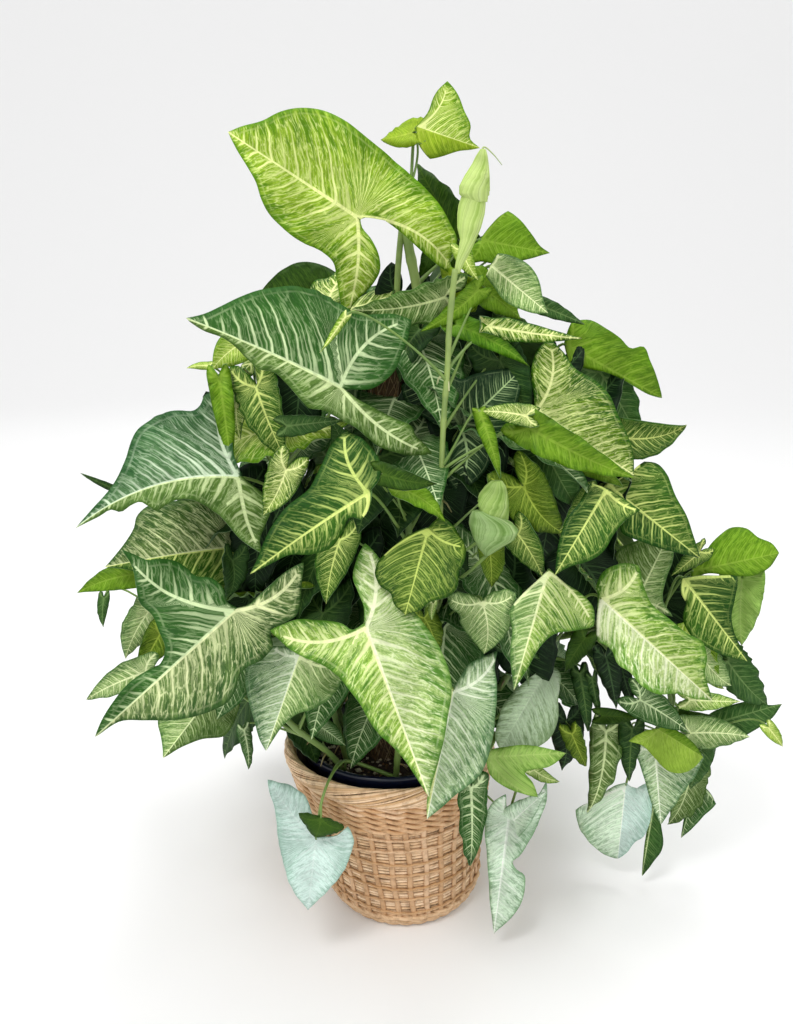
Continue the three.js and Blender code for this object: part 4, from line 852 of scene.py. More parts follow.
def lifted(leaf, side, half, flat, pat, wave, curl, droop, phases):
    """The flat points of a half in space: folded, bowed, sagging, waved and puckered."""
    length = leaf["length"]
    x, y = flat.T
    phase, w = pat[:, 0], pat[:, 1]
    part, back = np.clip(y / length, 0, 1), np.minimum(y / length, 0)
    lift = (TYPICAL["bow"] * 4 * part * (1 - part) - TYPICAL["sag"] * back ** 2
            - np.minimum(TYPICAL["camber"] * (x / half["width"]) ** 2, .1))
    lift += wave * w ** 2 * np.sin(phase * 1.9 + phases[side > 0]) * (1 - part ** 3)
    lift += wave * 1.3 * np.sin(x / length * 5 + phases[2] + y / length * 4) * w
    lift -= droop * part ** 3 + curl * (x / half["width"]) ** 2 * part
    pucker = PUCKER * np.sin(math.pi * phase) ** 2 * np.sin(math.pi * w)
    along, up, right = (np.array(leaf[k]) for k in ("along", "up", "right"))
    return (np.array(leaf["hub"]) + along * y[:, None] + np.array(half_out(leaf, side)) * x[:, None]
            + right * sweep_at(leaf, y)[:, None] + up * (length * lift + pucker)[:, None])


GOLDEN = .618  # spreads the leaves' own numbers evenly over 0 to 1
APART = (300, 170)  # how far leaves lie from each other in the pattern's plane


def blade(build, leaf, looks, seed, step, wave, curl=0.0, droop=0.0):
    """Adds a blade to a build as a closed sheet; step is about how far its points are apart."""
    rng = random.Random(seed)
    # The last of these is only drawn to keep what is drawn after it.
    phases = [rng.uniform(0, ANY_TURN) for _ in range(4)]
    grids, faces, corners = [], [], {key: [] for key in Build.CORNER}
    for side, half, look in zip(SIDES, leaf["halves"], (looks[k] for k in leaf["order"])):
        flat, triangles, pat, from_edge = half_mesh(leaf, half, step)
        start, count = sum(len(g) for g in grids), len(flat)
        grids.append(lifted(leaf, side, half, flat, pat, wave, curl, droop, phases))
        faces += [[start + k for k in face[::side]] for face in triangles]
        shade = rng.uniform(.9, 1.1)
        corners["pat"].append(pat)
        corners["flat"].append(np.stack([
            side * flat[:, 0] + APART[0] * seed, flat[:, 1] + APART[1] * seed, from_edge,
            np.zeros(count)], axis=-1))
        for key, colour in zip(("ground", "glow", "vein"), LOOKS[look][:3]):
            row = [v * shade for v in rgb(colour)] + [seed * GOLDEN % 1]
            corners[key].append(np.tile(row, (count, 1)))
        corners["amounts"].append(np.tile(LOOKS[look][3], (count, 1)))
    points = np.concatenate(grids)
    corners = {key: np.concatenate(v) for key, v in corners.items()}
    _, first, same = np.unique(np.round(points * 1e3).astype(np.int64), axis=0,
                               return_index=True, return_inverse=True)
    same = same.ravel()
    sources = [face for face in faces if len({same[k] for k in face}) == 3]
    add_sheet(build, points[first], [[int(same[k]) for k in face] for face in sources], sources,
              corners)


def add_sheet(build, points, faces, sources, corners):
    """Adds a sheet of triangles with its thickness; sources say what each corner carries."""
    normals = np.zeros_like(points)
    for face in faces:
        p = points[face]
        normals[face] += np.cross(p[1] - p[0], p[2] - p[0])
    half = SHEET * normals / np.maximum(np.linalg.norm(normals, axis=1), 1e-9)[:, None]
    under = len(points)
    edges = {(u, v): (s, r) for face, source in zip(faces, sources)
             for u, v, s, r in zip(face, face[1:] + face[:1], source, source[1:] + source[:1])}
    open_edges = [(u, v, s, r) for (u, v), (s, r) in edges.items() if (v, u) not in edges]
    groups = ((faces, sources, TOP),
              ([[under + v for v in face[::-1]] for face in faces], [s[::-1] for s in sources],
               UNDER),
              ([[v, u, under + u, under + v] for u, v, _, _ in open_edges],
               [[r, s, s, r] for _, _, s, r in open_edges], UNDER))
    start = build.take(np.concatenate([points + half, points - half]))
    for group, source, slot in groups:
        build.faces += [[start + v for v in face] for face in group]
        build.slots += [slot] * len(group)
        pick = [k for face in source for k in face]
        for key in Build.CORNER:
            build.corner[key].append(corners[key][pick])


# ---- materials ----


class Nodes:
    """A few short names for building a material's nodes."""

    def __init__(self, name, roughness, **more):
        self.material = bpy.data.materials.new(name)
        self.material.use_nodes = True
        self.tree = self.material.node_tree
        self.shader = self.tree.nodes["Principled BSDF"]
        self.shader.inputs["Roughness"].default_value = roughness
        for key, value in more.items():
            self.shader.inputs[key.replace("_", " ")].default_value = value

    def put(self, kind, inputs=(), **settings):
        """A new node, with its inputs linked or set."""
        node = self.tree.nodes.new(kind)
        for key, value in settings.items():
            setattr(node, key, value)
        for key, value in dict(inputs).items():
            if isinstance(value, bpy.types.NodeSocket):
                self.tree.links.new(value, node.inputs[key])
            else:
                node.inputs[key].default_value = value
        return node

    def attribute(self, name):
        return self.put("ShaderNodeAttribute", attribute_name=name)

    def colour(self, name):
        return self.attribute(name).outputs["Color"]

    def place(self):
        return self.put("ShaderNodeTexCoord").outputs["Object"]

    def parts(self, vector):
        return self.put("ShaderNodeSeparateXYZ", {0: vector}).outputs

    def join(self, x, y, z):
        return self.put("ShaderNodeCombineXYZ", {0: x, 1: y, 2: z}).outputs[0]

    def sum(self, operation, a, b=0.0, c=0.0):
        return self.put("ShaderNodeMath", {0: a, 1: b, 2: c}, operation=operation).outputs[0]

    def times(self, a, b):
        return self.sum("MULTIPLY", a, b)

    def scale_add(self, a, b, c):
        return self.sum("MULTIPLY_ADD", a, b, c)

    def most(self, a, b):
        return self.sum("MAXIMUM", a, b)

    def scaled(self, vector, by):
        return self.put("ShaderNodeVectorMath", {0: vector, "Scale": by},
                        operation="SCALE").outputs[0]

    def step(self, value, start, end, low=0.0, high=1.0):
        """A smooth change from low to high as the value goes from start to end."""
        return self.put("ShaderNodeMapRange", {0: value, 1: start, 2: end, 3: low, 4: high},
                        interpolation_type="SMOOTHSTEP").outputs[0]

    def noise(self, vector, scale, detail, roughness=.5):
        return self.put("ShaderNodeTexNoise", {"Vector": vector, "Scale": scale, "Detail": detail,
                                               "Roughness": roughness}).outputs[0]

    def cells(self, vector, scale):
        """How far it is to the nearest edge of a net of cells."""
        return self.put("ShaderNodeTexVoronoi", {"Vector": vector, "Scale": scale},
                        feature="DISTANCE_TO_EDGE").outputs[0]

    def mix(self, factor, a, b):
        return self.put("ShaderNodeMix", {0: factor, 6: a, 7: b}, data_type="RGBA").outputs[2]

    def paint(self, colour, height=None, bump=.2, distance=.001):
        """Puts a colour on the material, and relief where there is a height."""
        self.tree.links.new(colour, self.shader.inputs["Base Color"])
        if height is not None:
            node = self.put("ShaderNodeBump", {"Strength": bump, "Distance": distance,
                                               "Height": height})
            self.tree.links.new(node.outputs[0], self.shader.inputs["Normal"])
        return self.material


def side_veins(n, phase, w, widen, leaf_draw, per_phase, thick, weakest, reach):
    """One order of side veins: each has its own strength, and thins and fades to its own end."""
    place = n.times(phase, per_phase)
    middle = n.sum("ROUND", place)
    apart = n.sum("ABSOLUTE", n.sum("SUBTRACT", place, middle))
    number = n.scale_add(leaf_draw, 97, n.scale_add(middle, 7.3, per_phase))
    draw = n.put("ShaderNodeTexWhiteNoise", {"W": number}, noise_dimensions="1D").outputs[0]
    used = n.sum("DIVIDE", w, n.scale_add(draw, .4, reach))
    size = n.times(n.scale_add(used, -.55 * thick, thick), widen)
    line = n.step(n.sum("DIVIDE", apart, size), 1, .35)
    strength = n.step(draw, 0, 1, weakest, 1)
    return n.times(line, n.times(strength, n.step(used, 1.05, .35)))


def leaf_pattern(n):
    """Colour and height of a blade from what its corners carry."""
    # What the corners carry: the pattern's coordinates, three colours, and how strong each kind of
    # marking is.
    pat, flat = n.attribute("pat"), n.attribute("flat").outputs["Vector"]
    phase, w, rib = n.parts(pat.outputs["Vector"])
    edge = n.parts(flat)[2]
    from_hub = pat.outputs["Alpha"]
    grounding = n.attribute("ground")
    ground, leaf_draw = grounding.outputs["Color"], grounding.outputs["Alpha"]
    glow, vein = n.colour("glow"), n.colour("vein")
    amounts = n.attribute("amounts")
    veining, netting, glowing = n.parts(amounts.outputs["Vector"])
    flecking = amounts.outputs["Alpha"]
    # Side veins of three orders, which wander a little.
    wander = n.noise(flat, .05, 2)
    phase = n.scale_add(wander, .5, phase)
    near = n.sum("PINGPONG", phase, .5)
    widen = n.step(from_hub, .04, .4, 2.6, 1.15)
    first = side_veins(n, phase, w, widen, leaf_draw, 1, .12, .6, .72)
    second = n.times(side_veins(n, phase, w, widen, leaf_draw, 3, .2, -.5, .5), .55)
    third = n.times(side_veins(n, phase, w, 1.0, leaf_draw, 7, .34, -.3, .4), .6)
    fine = n.most(n.most(first, second), n.times(third, netting))
    # The net between them: streaks that follow the veins, and a fine web.
    along = n.join(n.times(phase, 5), n.times(rib, .16), leaf_draw)
    streak = n.noise(along, 1.0, 3, .7)
    net = n.times(n.step(streak, .55, .66), n.step(w, .95, .6, .2, .8))
    mesh = n.cells(n.join(n.times(phase, 2.6), n.times(rib, .11), leaf_draw), 1.0)
    web = n.times(n.step(mesh, .1, .03), n.step(streak, .4, .58))
    net = n.most(net, n.times(web, n.step(w, .98, .85, .1, .85)))
    # The midrib, the vein inside the margin and the plain hem outside it.
    midrib = n.step(n.sum("DIVIDE", rib, n.step(from_hub, 0, .9, 1.9, .7)), 1, .45)
    margin = n.step(n.sum("ABSOLUTE", n.sum("SUBTRACT", edge, 3.4)), .9, .25, 0, .2)
    margin = n.times(margin, n.step(n.noise(flat, .1, 2), .35, .6, .3, 1))
    hem = n.step(edge, .3, 1.8, .4, 1)
    # All veins together.
    veins = n.times(n.most(fine, margin), veining)
    veins = n.most(veins, n.times(net, netting))
    veins = n.times(veins, hem)
    veins = n.most(veins, n.times(midrib, n.step(veining, .2, .9, .2, 1)))
    # The lighter flush, strongest along the ribs and beside the veins, with darker flecks in it:
    # partly the blade's own paler variegation, partly painted glow of light shining through the
    # blade.
    cloud = n.noise(flat, .045, 3)
    lit = n.scale_add(w, -.7, .7)
    lit = n.sum("ADD", lit, n.scale_add(near, -.7, .35))
    lit = n.sum("ADD", lit, n.scale_add(cloud, 1.1, -.35))
    lit = n.sum("ADD", lit, n.scale_add(streak, 1.2, -.6))
    lit = n.times(n.step(lit, .25, .85), glowing)
    lit = n.times(n.sum("ADD", lit, n.step(glowing, .85, 1, 0, .35)), hem)
    flecks = n.times(n.step(n.noise(flat, .6, 3, .6), .5, .6), flecking)
    lit = n.times(lit, n.sum("SUBTRACT", 1.0, flecks))
    colour = n.mix(n.sum("MINIMUM", lit, 1.0), ground, glow)
    colour = n.mix(veins, colour, vein)
    shade = n.times(n.step(n.noise(flat, .025, 2), .3, .7, .84, 1.12),
                    n.step(streak, .35, .6, .84, 1.08))
    return n.scaled(colour, shade), n.sum("SUBTRACT", 1.0, veins)


def leaf_top_material():
    """The lit side of a blade."""
    n = Nodes("leaf_upper_side", .52, Specular_IOR_Level=.14)
    colour, height = leaf_pattern(n)
    return n.paint(colour, height, .25, .0006)


def leaf_under_material():
    """The underside of a blade: the same pattern, paler and with more relief."""
    n = Nodes("leaf_underside", .6, Specular_IOR_Level=.14)
    colour, height = leaf_pattern(n)
    return n.paint(n.mix(.45, colour, rgba("underside")), height, .3, .0006)


def stalk_material():
    """For stalks and stems, with a little darker mottling."""
    n = Nodes("stalk", .45)
    mottling = n.step(n.noise(n.place(), 60, 3), .35, .7, 0, .5)
    return n.paint(n.mix(mottling, n.colour("ground"), rgba("stalk_dark")))


def strand_material(name, roughness, dark, scale):
    """For wicker, coir and soil: each strand or crumb carries its own colour."""
    n = Nodes(name, roughness)
    grain = n.noise(n.place(), scale, 4, .6)
    return n.paint(n.mix(n.step(grain, .42, .7, 0, .55), n.colour("ground"), rgba(dark)), grain, .4)


def pot_material():
    """Smooth dark plastic, somewhat worn."""
    n = Nodes("pot_plastic", .28)
    worn = n.noise(n.place(), 35, 4)
    return n.paint(n.mix(n.step(worn, .45, .75), rgba("pot_low"), rgba("pot_worn")), worn, .05)


LEAF = [leaf_top_material(), leaf_under_material(), stalk_material()]
WICKER = strand_material("wicker", .55, "wicker_dark", 160)
COIR = strand_material("coir", .95, "coir_dark", 120)
EARTH = strand_material("earth", .95, "soil_dark", 220)
PLASTIC = pot_material()


def varied(colour, rng, by=14):
    """One of COLOURS, made somewhat lighter or darker by chance."""
    change = rng.uniform(-by, by)
    return tuple(max(4, c + change * (.8 + .4 * k / 2)) for k, c in enumerate(COLOURS[colour]))


# ---- basket, pot, soil and pole ----


def leaned(p):
    """A point of the upright basket, where it comes to be as the basket leans."""
    rise = p[2] / BASKET["height"]
    return Vector((p[0] + LEAN["sideways"] * rise, p[1], p[2] - LEAN["tilt"] * p[1] * rise))


def basket_radius(z):
    """The basket's outer radius at a height: a rounded foot, then a slow flare."""
    foot = BASKET["foot"] + 9 * math.sqrt(min(max(z, 0) / 12, 1))
    return foot + (BASKET["rim"] - BASKET["foot"] - 11) * (max(z, 0) / BASKET["height"]) ** 1.35


def lathe(profile):
    """A turned body about the leaning axis, from a profile of (radius, height)."""
    verts = [leaned(around(r, angle, z)) for r, z in profile for angle in turns(ROUND)]
    return verts, ring_faces(len(profile), ROUND)


def hoop(radius_at, height_at, thick, steps=240):
    """A strand laid right round the basket."""
    angles = [TURN * k / steps for k in range(steps + 1)]
    return tube([leaned(around(radius_at(a), a, height_at(a))) for a in angles], thick, 6)


def strip(run, wide, thick):
    """A flat strip along a run, facing outward from the basket's axis."""
    verts = []
    for k, p in enumerate(run):
        out = Vector((p.x, p.y, 0)).normalized()
        side = direction_at(run, k).cross(out).normalized()
        verts += [p + side * wide * across + out * thick * deep for across, deep in STRIP]
    return verts, ring_faces(len(run), len(STRIP), False)


# A strip's section: across in widths, outward in thicknesses.
STRIP = ((-.5, 0), (-.32, .8), (.32, .8), (.5, 0), (.32, -.5), (-.32, -.5))


def make_basket():
    """The basket: a plain wall, whose dark brown is painted shade showing in the gaps of the weave,
    and over it its reeds, its lattice and its rim.
    """
    rng = random.Random(SEEDS["basket"])
    wall = Build("basket_wall", [WICKER])
    outside = [(basket_radius(z) - 2.2, z) for z in np.arange(1, 146, 5)]
    floor = BASKET["floor"]
    inside = [(basket_radius(z) - BASKET["wall"], z) for z in (146, 110, 70, 30, 12, floor)]
    wall.add_plain(lathe([(2, 1), *outside, *inside, (2, floor)]), "basket")
    wall.finish("basket")
    for name, add in (("basket_reeds", add_reeds), ("basket_lattice", add_lattice),
                      ("basket_rim", add_rim)):
        build = Build(name, [WICKER])
        add(build, rng)
        build.finish("basket")


def add_reeds(build, rng):
    """Fine reeds laid round, one close above the other."""
    for level in range(REEDS):
        low, phase = 2.6 + level * 3.3, rng.uniform(0, ANY_TURN)
        build.add_plain(hoop(lambda a: basket_radius(low) - 1.5 + .2 * math.sin(9 * a + low),
                             lambda a: low + .35 * math.sin(4 * a + phase), 1.45, 120),
                        varied("reed", rng, 18))


def add_lattice(build, rng):
    """Upright staves, the cross reeds that weave round them, and the twined bands at both ends."""
    for i in range(STAVES):
        run = []
        for z in np.linspace(5, 122, 26):
            angle = TURN * (i + .2) / STAVES + .01 * math.sin(z * .09 + i)
            run.append(leaned(around(basket_radius(z) + .3, angle, z)))
        build.add_plain(strip(run, 5.2, 1.5), varied("stave", rng))
    for level in range(WEFTS):
        low, phase = 20 + level * 14.2, math.pi * level
        build.add_plain(hoop(
            lambda a: basket_radius(low) + .6 + 1.3 * abs(math.cos(STAVES * a / 2 - .3)),
            lambda a: low + .9 * math.sin(5 * a + phase) + 1.1 * math.sin(2 * a + phase),
            1.2), varied("weft", rng, 20))
    for levels, foot, apart, deep, high, sway, colour, by in (
            (5, 114, 5.9, (.6, 1.5), 1.5, .6, "upper_twine", 20),
            (3, 3.4, 4.6, (.4, 1.2), .7, 0, "lower_twine", 14)):
        for level, strand in ((k, s) for k in range(levels) for s in range(2)):
            low, phase = foot + level * apart, math.pi * (strand + level)
            build.add_plain(hoop(
                lambda a: basket_radius(low) + deep[0] + deep[1] * math.sin(
                    STAVES * a / 2 + phase),
                lambda a: low + high * math.cos(STAVES * a / 2 + phase) + sway * math.sin(3 * a),
                1.9), varied(colour, rng, by))


def add_rim(build, rng):
    """The rolled rim: strands that wind round it as they go round the basket."""
    winds, steps = 3, 180
    for s in range(RIM_STRANDS):
        run = []
        for angle in (TURN * k / steps for k in range(steps + 1)):
            wrap = winds * angle + TURN * s / RIM_STRANDS + .12 * math.sin(3 * angle + s)
            swell = 1 - .09 * abs(math.sin(2 * angle + 2.4 * s))
            run.append(leaned(around(BASKET["rim"] - 5.2 + 4.8 * swell * math.cos(wrap), angle,
                                     BASKET["height"] - 9.5 + 8.4 * swell * math.sin(wrap))))
        build.add_plain(tube(run, .95 + .2 * math.sin(s * 2.4), 6), varied("rim", rng, 26))


def pot_radius(z):
    """The pot's outer radius at a height."""
    return POT["foot"] + (POT["top"] - POT["foot"]) * z / POT["height"]


def make_pot():
    """The nursery pot: one turned wall with a rolled lip."""
    height, wall, lip, base = (POT[k] for k in ("height", "wall", "lip", "base"))
    top = pot_radius(height)
    profile = [(1, base), (POT["foot"] - 2, base), (POT["foot"], base + 2),
               (pot_radius(height - 13), height - 13), (top + lip - 2.4, height - 12),
               (top + lip - 1.2, height - 11), (top + lip - .2, height - 3),
               (top + lip - .8, height - 1), (top + lip - 2, height), (top + .6, height),
               (top - .6, height - 1.2), (pot_radius(height - 14) - wall, height - 14),
               (POT["foot"] - wall, base + wall), (1, base + wall)]
    build = Build("pot_shell", [PLASTIC])
    build.add_plain(lathe(profile), "pot")
    build.finish("nursery_pot")


def soil_height(x, y):
    """The soil's level at a place: a little uneven, and higher in the middle."""
    r = math.hypot(x, y)
    level = SOIL["edge"] + (SOIL["crown"] - SOIL["edge"]) * max(0, 1 - r / 68)
    return level + 2.2 * noise.noise(Vector((x * .06, y * .06, 0))) + 1.1 * noise.noise(
        Vector((x * .3, y * .3, 5)))


def make_soil():
    """The bed of soil, which ends just inside the pot, and bark, crumbs and perlite on it."""
    rng = random.Random(SEEDS["soil"])
    side = pot_radius(SOIL["edge"]) - POT["wall"] - .9
    rings, sides = 26, 72
    verts = []
    for k in range(rings + 1):
        for angle in turns(sides):
            x, y, _ = around(side * max(k, .05) / rings, angle, 0)
            verts.append(leaned((x, y, min(soil_height(x, y), SOIL["crown"]))))
    verts += [leaned(around(.78 * side, angle, 9)) for angle in turns(sides)]
    bed = Build("soil_bed", [EARTH])
    bed.add_plain((verts, ring_faces(rings + 2, sides, False)), "soil")
    bed.finish("soil")
    crumbs = Build("soil_crumbs", [EARTH])
    for _ in range(CRUMBS):
        r, angle = side * math.sqrt(rng.random()) * .98, rng.uniform(0, TURN)
        x, y, _ = around(r, angle, 0)
        kind = rng.random()
        size = rng.uniform(.8, 2.4) if kind < .8 else rng.uniform(2, 4)
        colour = "crumb" if kind < .45 else "bark" if kind < .8 else "perlite"
        crumbs.add_plain(crumb(leaned((x, y, soil_height(x, y))), size, rng),
                         varied(colour, rng, 12))
    crumbs.finish(None)


def crumb(place, size, rng):
    """A small squashed eight-sided lump."""
    turn = Matrix.Rotation(rng.uniform(0, ANY_TURN), 3, Vector((rng.random(), rng.random(), 1)))
    shape = [rng.uniform(.5, 1.2) for _ in range(3)]
    ends = ((1, 0, 0), (0, 1, 0), (0, 0, 1), (-1, 0, 0), (0, -1, 0), (0, 0, -1))
    verts = [place + turn @ Vector([e[k] * shape[k] * size for k in range(3)]) for e in ends]
    faces = [(0, 1, 2), (1, 3, 2), (3, 4, 2), (4, 0, 2), (1, 0, 5), (3, 1, 5), (4, 3, 5),
             (0, 4, 5)]
    return verts, faces


def make_pole():
    """The coir pole: a rough core, and loose fibres laid over it."""
    rng = random.Random(SEEDS["pole"])
    build = Build("coir_pole", [COIR])
    rings, sides = 120, 36
    verts = []
    for k in range(rings + 1):
        z = POLE["foot"] + (POLE["top"] - POLE["foot"]) * k / rings
        for i, angle in enumerate(turns(sides)):
            r = POLE["radius"] - 1.6 + 1.5 * noise.noise(Vector((i * .9, z * .05, 3)))
            verts.append(Vector((POLE["x"] + r * math.cos(angle), r * math.sin(angle), z)))
    build.add_plain((verts, ring_faces(rings + 1, sides)), "coir")
    for _ in range(FIBRES):
        start, z = rng.uniform(0, ANY_TURN), rng.uniform(140, POLE["top"] - 6)
        slant, reach = rng.uniform(-.5, .5), rng.uniform(12, 34)
        run = []
        for t in (k / 4 for k in range(5)):
            angle = start + slant * t
            r = POLE["radius"] - .6 + 1.8 * math.sin(math.pi * t) * rng.uniform(.4, 1)
            high = min(z + reach * (t - .5) * rng.choice((1, .9)), POLE["top"])
            run.append((POLE["x"] + r * math.cos(angle), r * math.sin(angle), high))
        build.add_plain(tube(run, .34, 4), varied("fibre", rng, 30))
    build.finish("moss_pole")


# ---- stems and stalks ----


STEM_RUNS = {name: curve_through(path, 14) for name, (_, path) in STEMS.items()}


def make_stems():
    """The stems, with a swelling at each knot and a short root at most of them."""
    rng = random.Random(SEEDS["stems"])
    for name, (radius, _) in STEMS.items():
        run = STEM_RUNS[name]
        build = Build(f"{name}_grown", [LEAF[STALK]])
        knots = [rng.uniform(.04, .1) + .12 * k for k in range(8)]

        def size(part, radius=radius, knots=knots):
            swell = sum(math.exp(-((part - k) / .012) ** 2) for k in knots)
            return radius * (.84 + .12 * swell)

        pale = name in ("stem_main", "stem_shoot")
        build.add_plain(tube(run, size, 12), "pale_stem" if pale else "green_stem")
        for knot in knots[1:6]:
            bearing = rng.uniform(0, ANY_TURN)
            p, _ = along_run(run, min(knot, .95))
            out = Vector(around(1, bearing, -.5)).normalized()
            build.add_plain(tube([p, p + out * 6, p + out * 11 - Z * 4], lambda t: 1 - .6 * t, 6),
                            "root")
        build.finish(name)


def nearest_stem(hub):
    """Where a stalk may come from: the stem point that suits a hub best."""
    best = None
    for name, run in STEM_RUNS.items():
        for k in range(3, len(run) - 1):
            p = run[k]
            cost = (p - hub + Z * 45).length + (40 if p.z > hub.z else 0)
            if p.z > 150 and (best is None or cost < best[0]):
                best = (cost, p, (run[k + 1] - p).normalized())
    return best[1:]


def stalk_run(leaf, start, aim, bow, via):
    """A stalk's way from its stem to its leaf's hub, past the places in via where there are any."""
    end = leaf["hub"] - leaf["up"] * .3
    if via:
        return curve_through([start, *[spot(v) for v in via], end], 6)
    span = (end - start).length
    outward = Vector((end.x - start.x, end.y - start.y, 0)).normalized()
    sideways = Vector((-outward.y, outward.x, 0))
    rising = start + aim * .2 * span + outward * .18 * span + sideways * bow
    arriving = end - leaf["up"] * .28 * span - leaf["along"] * .16 * span + sideways * bow
    return bezier(start, rising, arriving, end)


# ---- leaves of the drawing that stand for no node ----

# Small leaves: hub, tip, look, width, and for some of them more for front_leaf.
SMALL_LEAVES = [
    ((445, 297, -35), (353, 312, -45), "slate", .24),
    ((457, 238, 20), (415, 163, 24), "moss", .3),
    ((500, 244, 5), (466, 252, 8), "veined", .4),
    ((412, 133, -8), (380, 138, -4), "spring", .45),
    ((470, 292, -20), (438, 262, -22), "spring", .36),
    ((484, 290, -24), (522, 318, -30), "leafy", .4),
    ((483, 325, -44), (583, 338, -52), "speckled", .12,
     dict(lobes=((479, 322, .12), (480, 329, .12)))),
    ((528, 427, -78), (636, 479, -90), "leafy", .17),
    ((526, 416, -80), (478, 411, -84), "speckled", .24),
    ((480, 412, -84), (501, 481, -88), "leafy", .16,
     dict(lobes=((475, 408, .12), (486, 407, .12)))),
    ((618, 437, -20), (688, 425, -24), "veined", .36, dict(turn=6)),
    ((600, 372, -10), (640, 440, -14), "plain_dark", .3),
    ((536, 304, -20), (586, 324, -24), "plain_dark", .18),
    ((742, 580, -8), (742, 650, -12), "apple", .3, dict(turn=0)),
    ((768, 727, -58), (784, 748, -60), "lime", .25),
    ((728, 662, -10), (768, 705, -16), "plain_dark", .34),
    ((704, 660, -30), (732, 686, -34), "silver", .4),
    ((690, 700, -40), (741, 702, -46), "pale", .22),
    ((606, 731, -15), (588, 818, -20), "dusk", .16),
    ((572, 734, -30), (586, 768, -34), "olive", .3),
    ((580, 674, -20), (588, 732, -24), "deep", .14),
    ((592, 678, -22), (600, 716, -24), "deep", .14),
    ((585, 638, -30), (565, 672, -34), "moss", .3),
    ((592, 648, -14), (614, 664, -16), "deep", .3),
    ((602, 716, -30), (640, 718, -34), "moss", .24),
    ((632, 728, -22), (630, 784, -28), "deep", .2),
    ((690, 733, -34), (752, 738, -36), "silver", .3),
    ((700, 745, -20), (690, 790, -24), "plain_dark", .3),
    ((606, 656, -30), (616, 712, -34), "shade", .2),
    ((622, 668, -26), (634, 706, -30), "shade", .2),
    ((432, 246, 10), (418, 282, 6), "moss", .3),
    ((566, 720, -20), (562, 772, -24), "shade", .3),
    ((590, 470, -40), (624, 488, -44), "leafy", .2),
    ((680, 716, -20), (716, 716, -22), "moss", .2),
    ((690, 776, -4), (668, 826, -8), "dusk", .3),
    ((700, 552, -20), (672, 576, -24), "veined", .3),
    ((462, 250, -40), (478, 280, -44), "lime", .3),
    ((287, 426, -84), (343, 420, -88), "plain_dark", .2),
    ((346, 316, -104), (320, 353, -108), "lime", .1),
    ((321, 818, -112), (315, 838, -113), "moss", .8,
     dict(lobes=((298, 815, .8), (344, 829, .8)), turn=0, fold=8)),
    ((512, 822, -80), (545, 793, -84), "mint_veined", .3),
    ((534, 770, -60), (560, 782, -64), "pale", .25),
    ((482, 602, -98), (484, 654, -104), "silver", .5,
     dict(lobes=((447, 598, .55), (516, 594, .5)), turn=0, fold=14)),
    ((471, 788, -112), (470, 866, -116), "dark", .17),
    ((219, 378, -62), (232, 475, -70), "leafy", .12),
    ((256, 387, -58), (286, 462, -66), "veined", .3),
    ((238, 384, -50), (240, 440, -54), "speckled", .26),
    ((232, 560, -66), (226, 602, -70), "deep", .36),
    ((112, 488, -95), (80, 473, -100), "deep", .11),
    ((104, 598, -60), (103, 628, -62), "plain_dark", .18),
    ((210, 366, -40), (186, 368, -42), "lime", .2),
    ((240, 344, -44), (212, 370, -50), "lime", .5),
    ((136, 574, -70), (77, 593, -80), "leafy", .26),
    ((148, 612, -60), (126, 660, -70), "silver", .34),
    ((160, 634, -66), (138, 676, -74), "olive", .3),
    ((146, 672, -94), (86, 700, -100), "silver", .26),
    ((244, 730, -64), (249, 771, -68), "dark", .16),
    ((300, 714, -40), (318, 764, -52), "deep", .4),
    ((322, 728, -46), (346, 746, -50), "dark", .4),
    ((490, 552, -78), (492, 588, -84), "olive", .42),
    ((524, 486, -60), (567, 537, -66), "olive", .42),
    ((518, 534, -70), (543, 578, -76), "veined", .34),
    ((383, 474, -112), (438, 484, -110), "moss", .22),
    ((404, 490, -104), (447, 521, -110), "leafy", .24),
    ((433, 604, -100), (432, 620, -104), "pale", .3),
    ((424, 618, -84), (436, 660, -92), "olive", .34),
    ((352, 470, -60), (330, 420, -60), "plain_dark", .4),
    ((286, 470, -100), (262, 516, -104), "speckled", .35),
    ((340, 540, -80), (326, 604, -94), "veined", .34),
    ((450, 560, -70), (470, 610, -80), "deep", .36),
    ((545, 450, -50), (580, 510, -60), "plain_dark", .36),
    ((590, 500, -60), (560, 530, -66), "veined", .36),
    ((457, 325, -40), (530, 366, -46), "fresh", .15),
    ((478, 290, -34), (420, 332, -42), "leafy", .16),
    ((660, 640, -50), (690, 690, -60), "deep", .4),
    ((700, 640, -20), (724, 690, -30), "lime", .34),
    ((240, 650, -80), (216, 720, -96), "dark", .4),
    ((390, 650, -80), (372, 700, -96), "deep", .4),
    ((500, 620, -60), (540, 660, -70), "deep", .4),
    ((640, 700, -40), (690, 732, -50), "dark", .3),
    ((420, 330, -20), (400, 380, -40), "deep", .4),
    ((500, 360, -30), (530, 420, -40), "deep", .4),
]
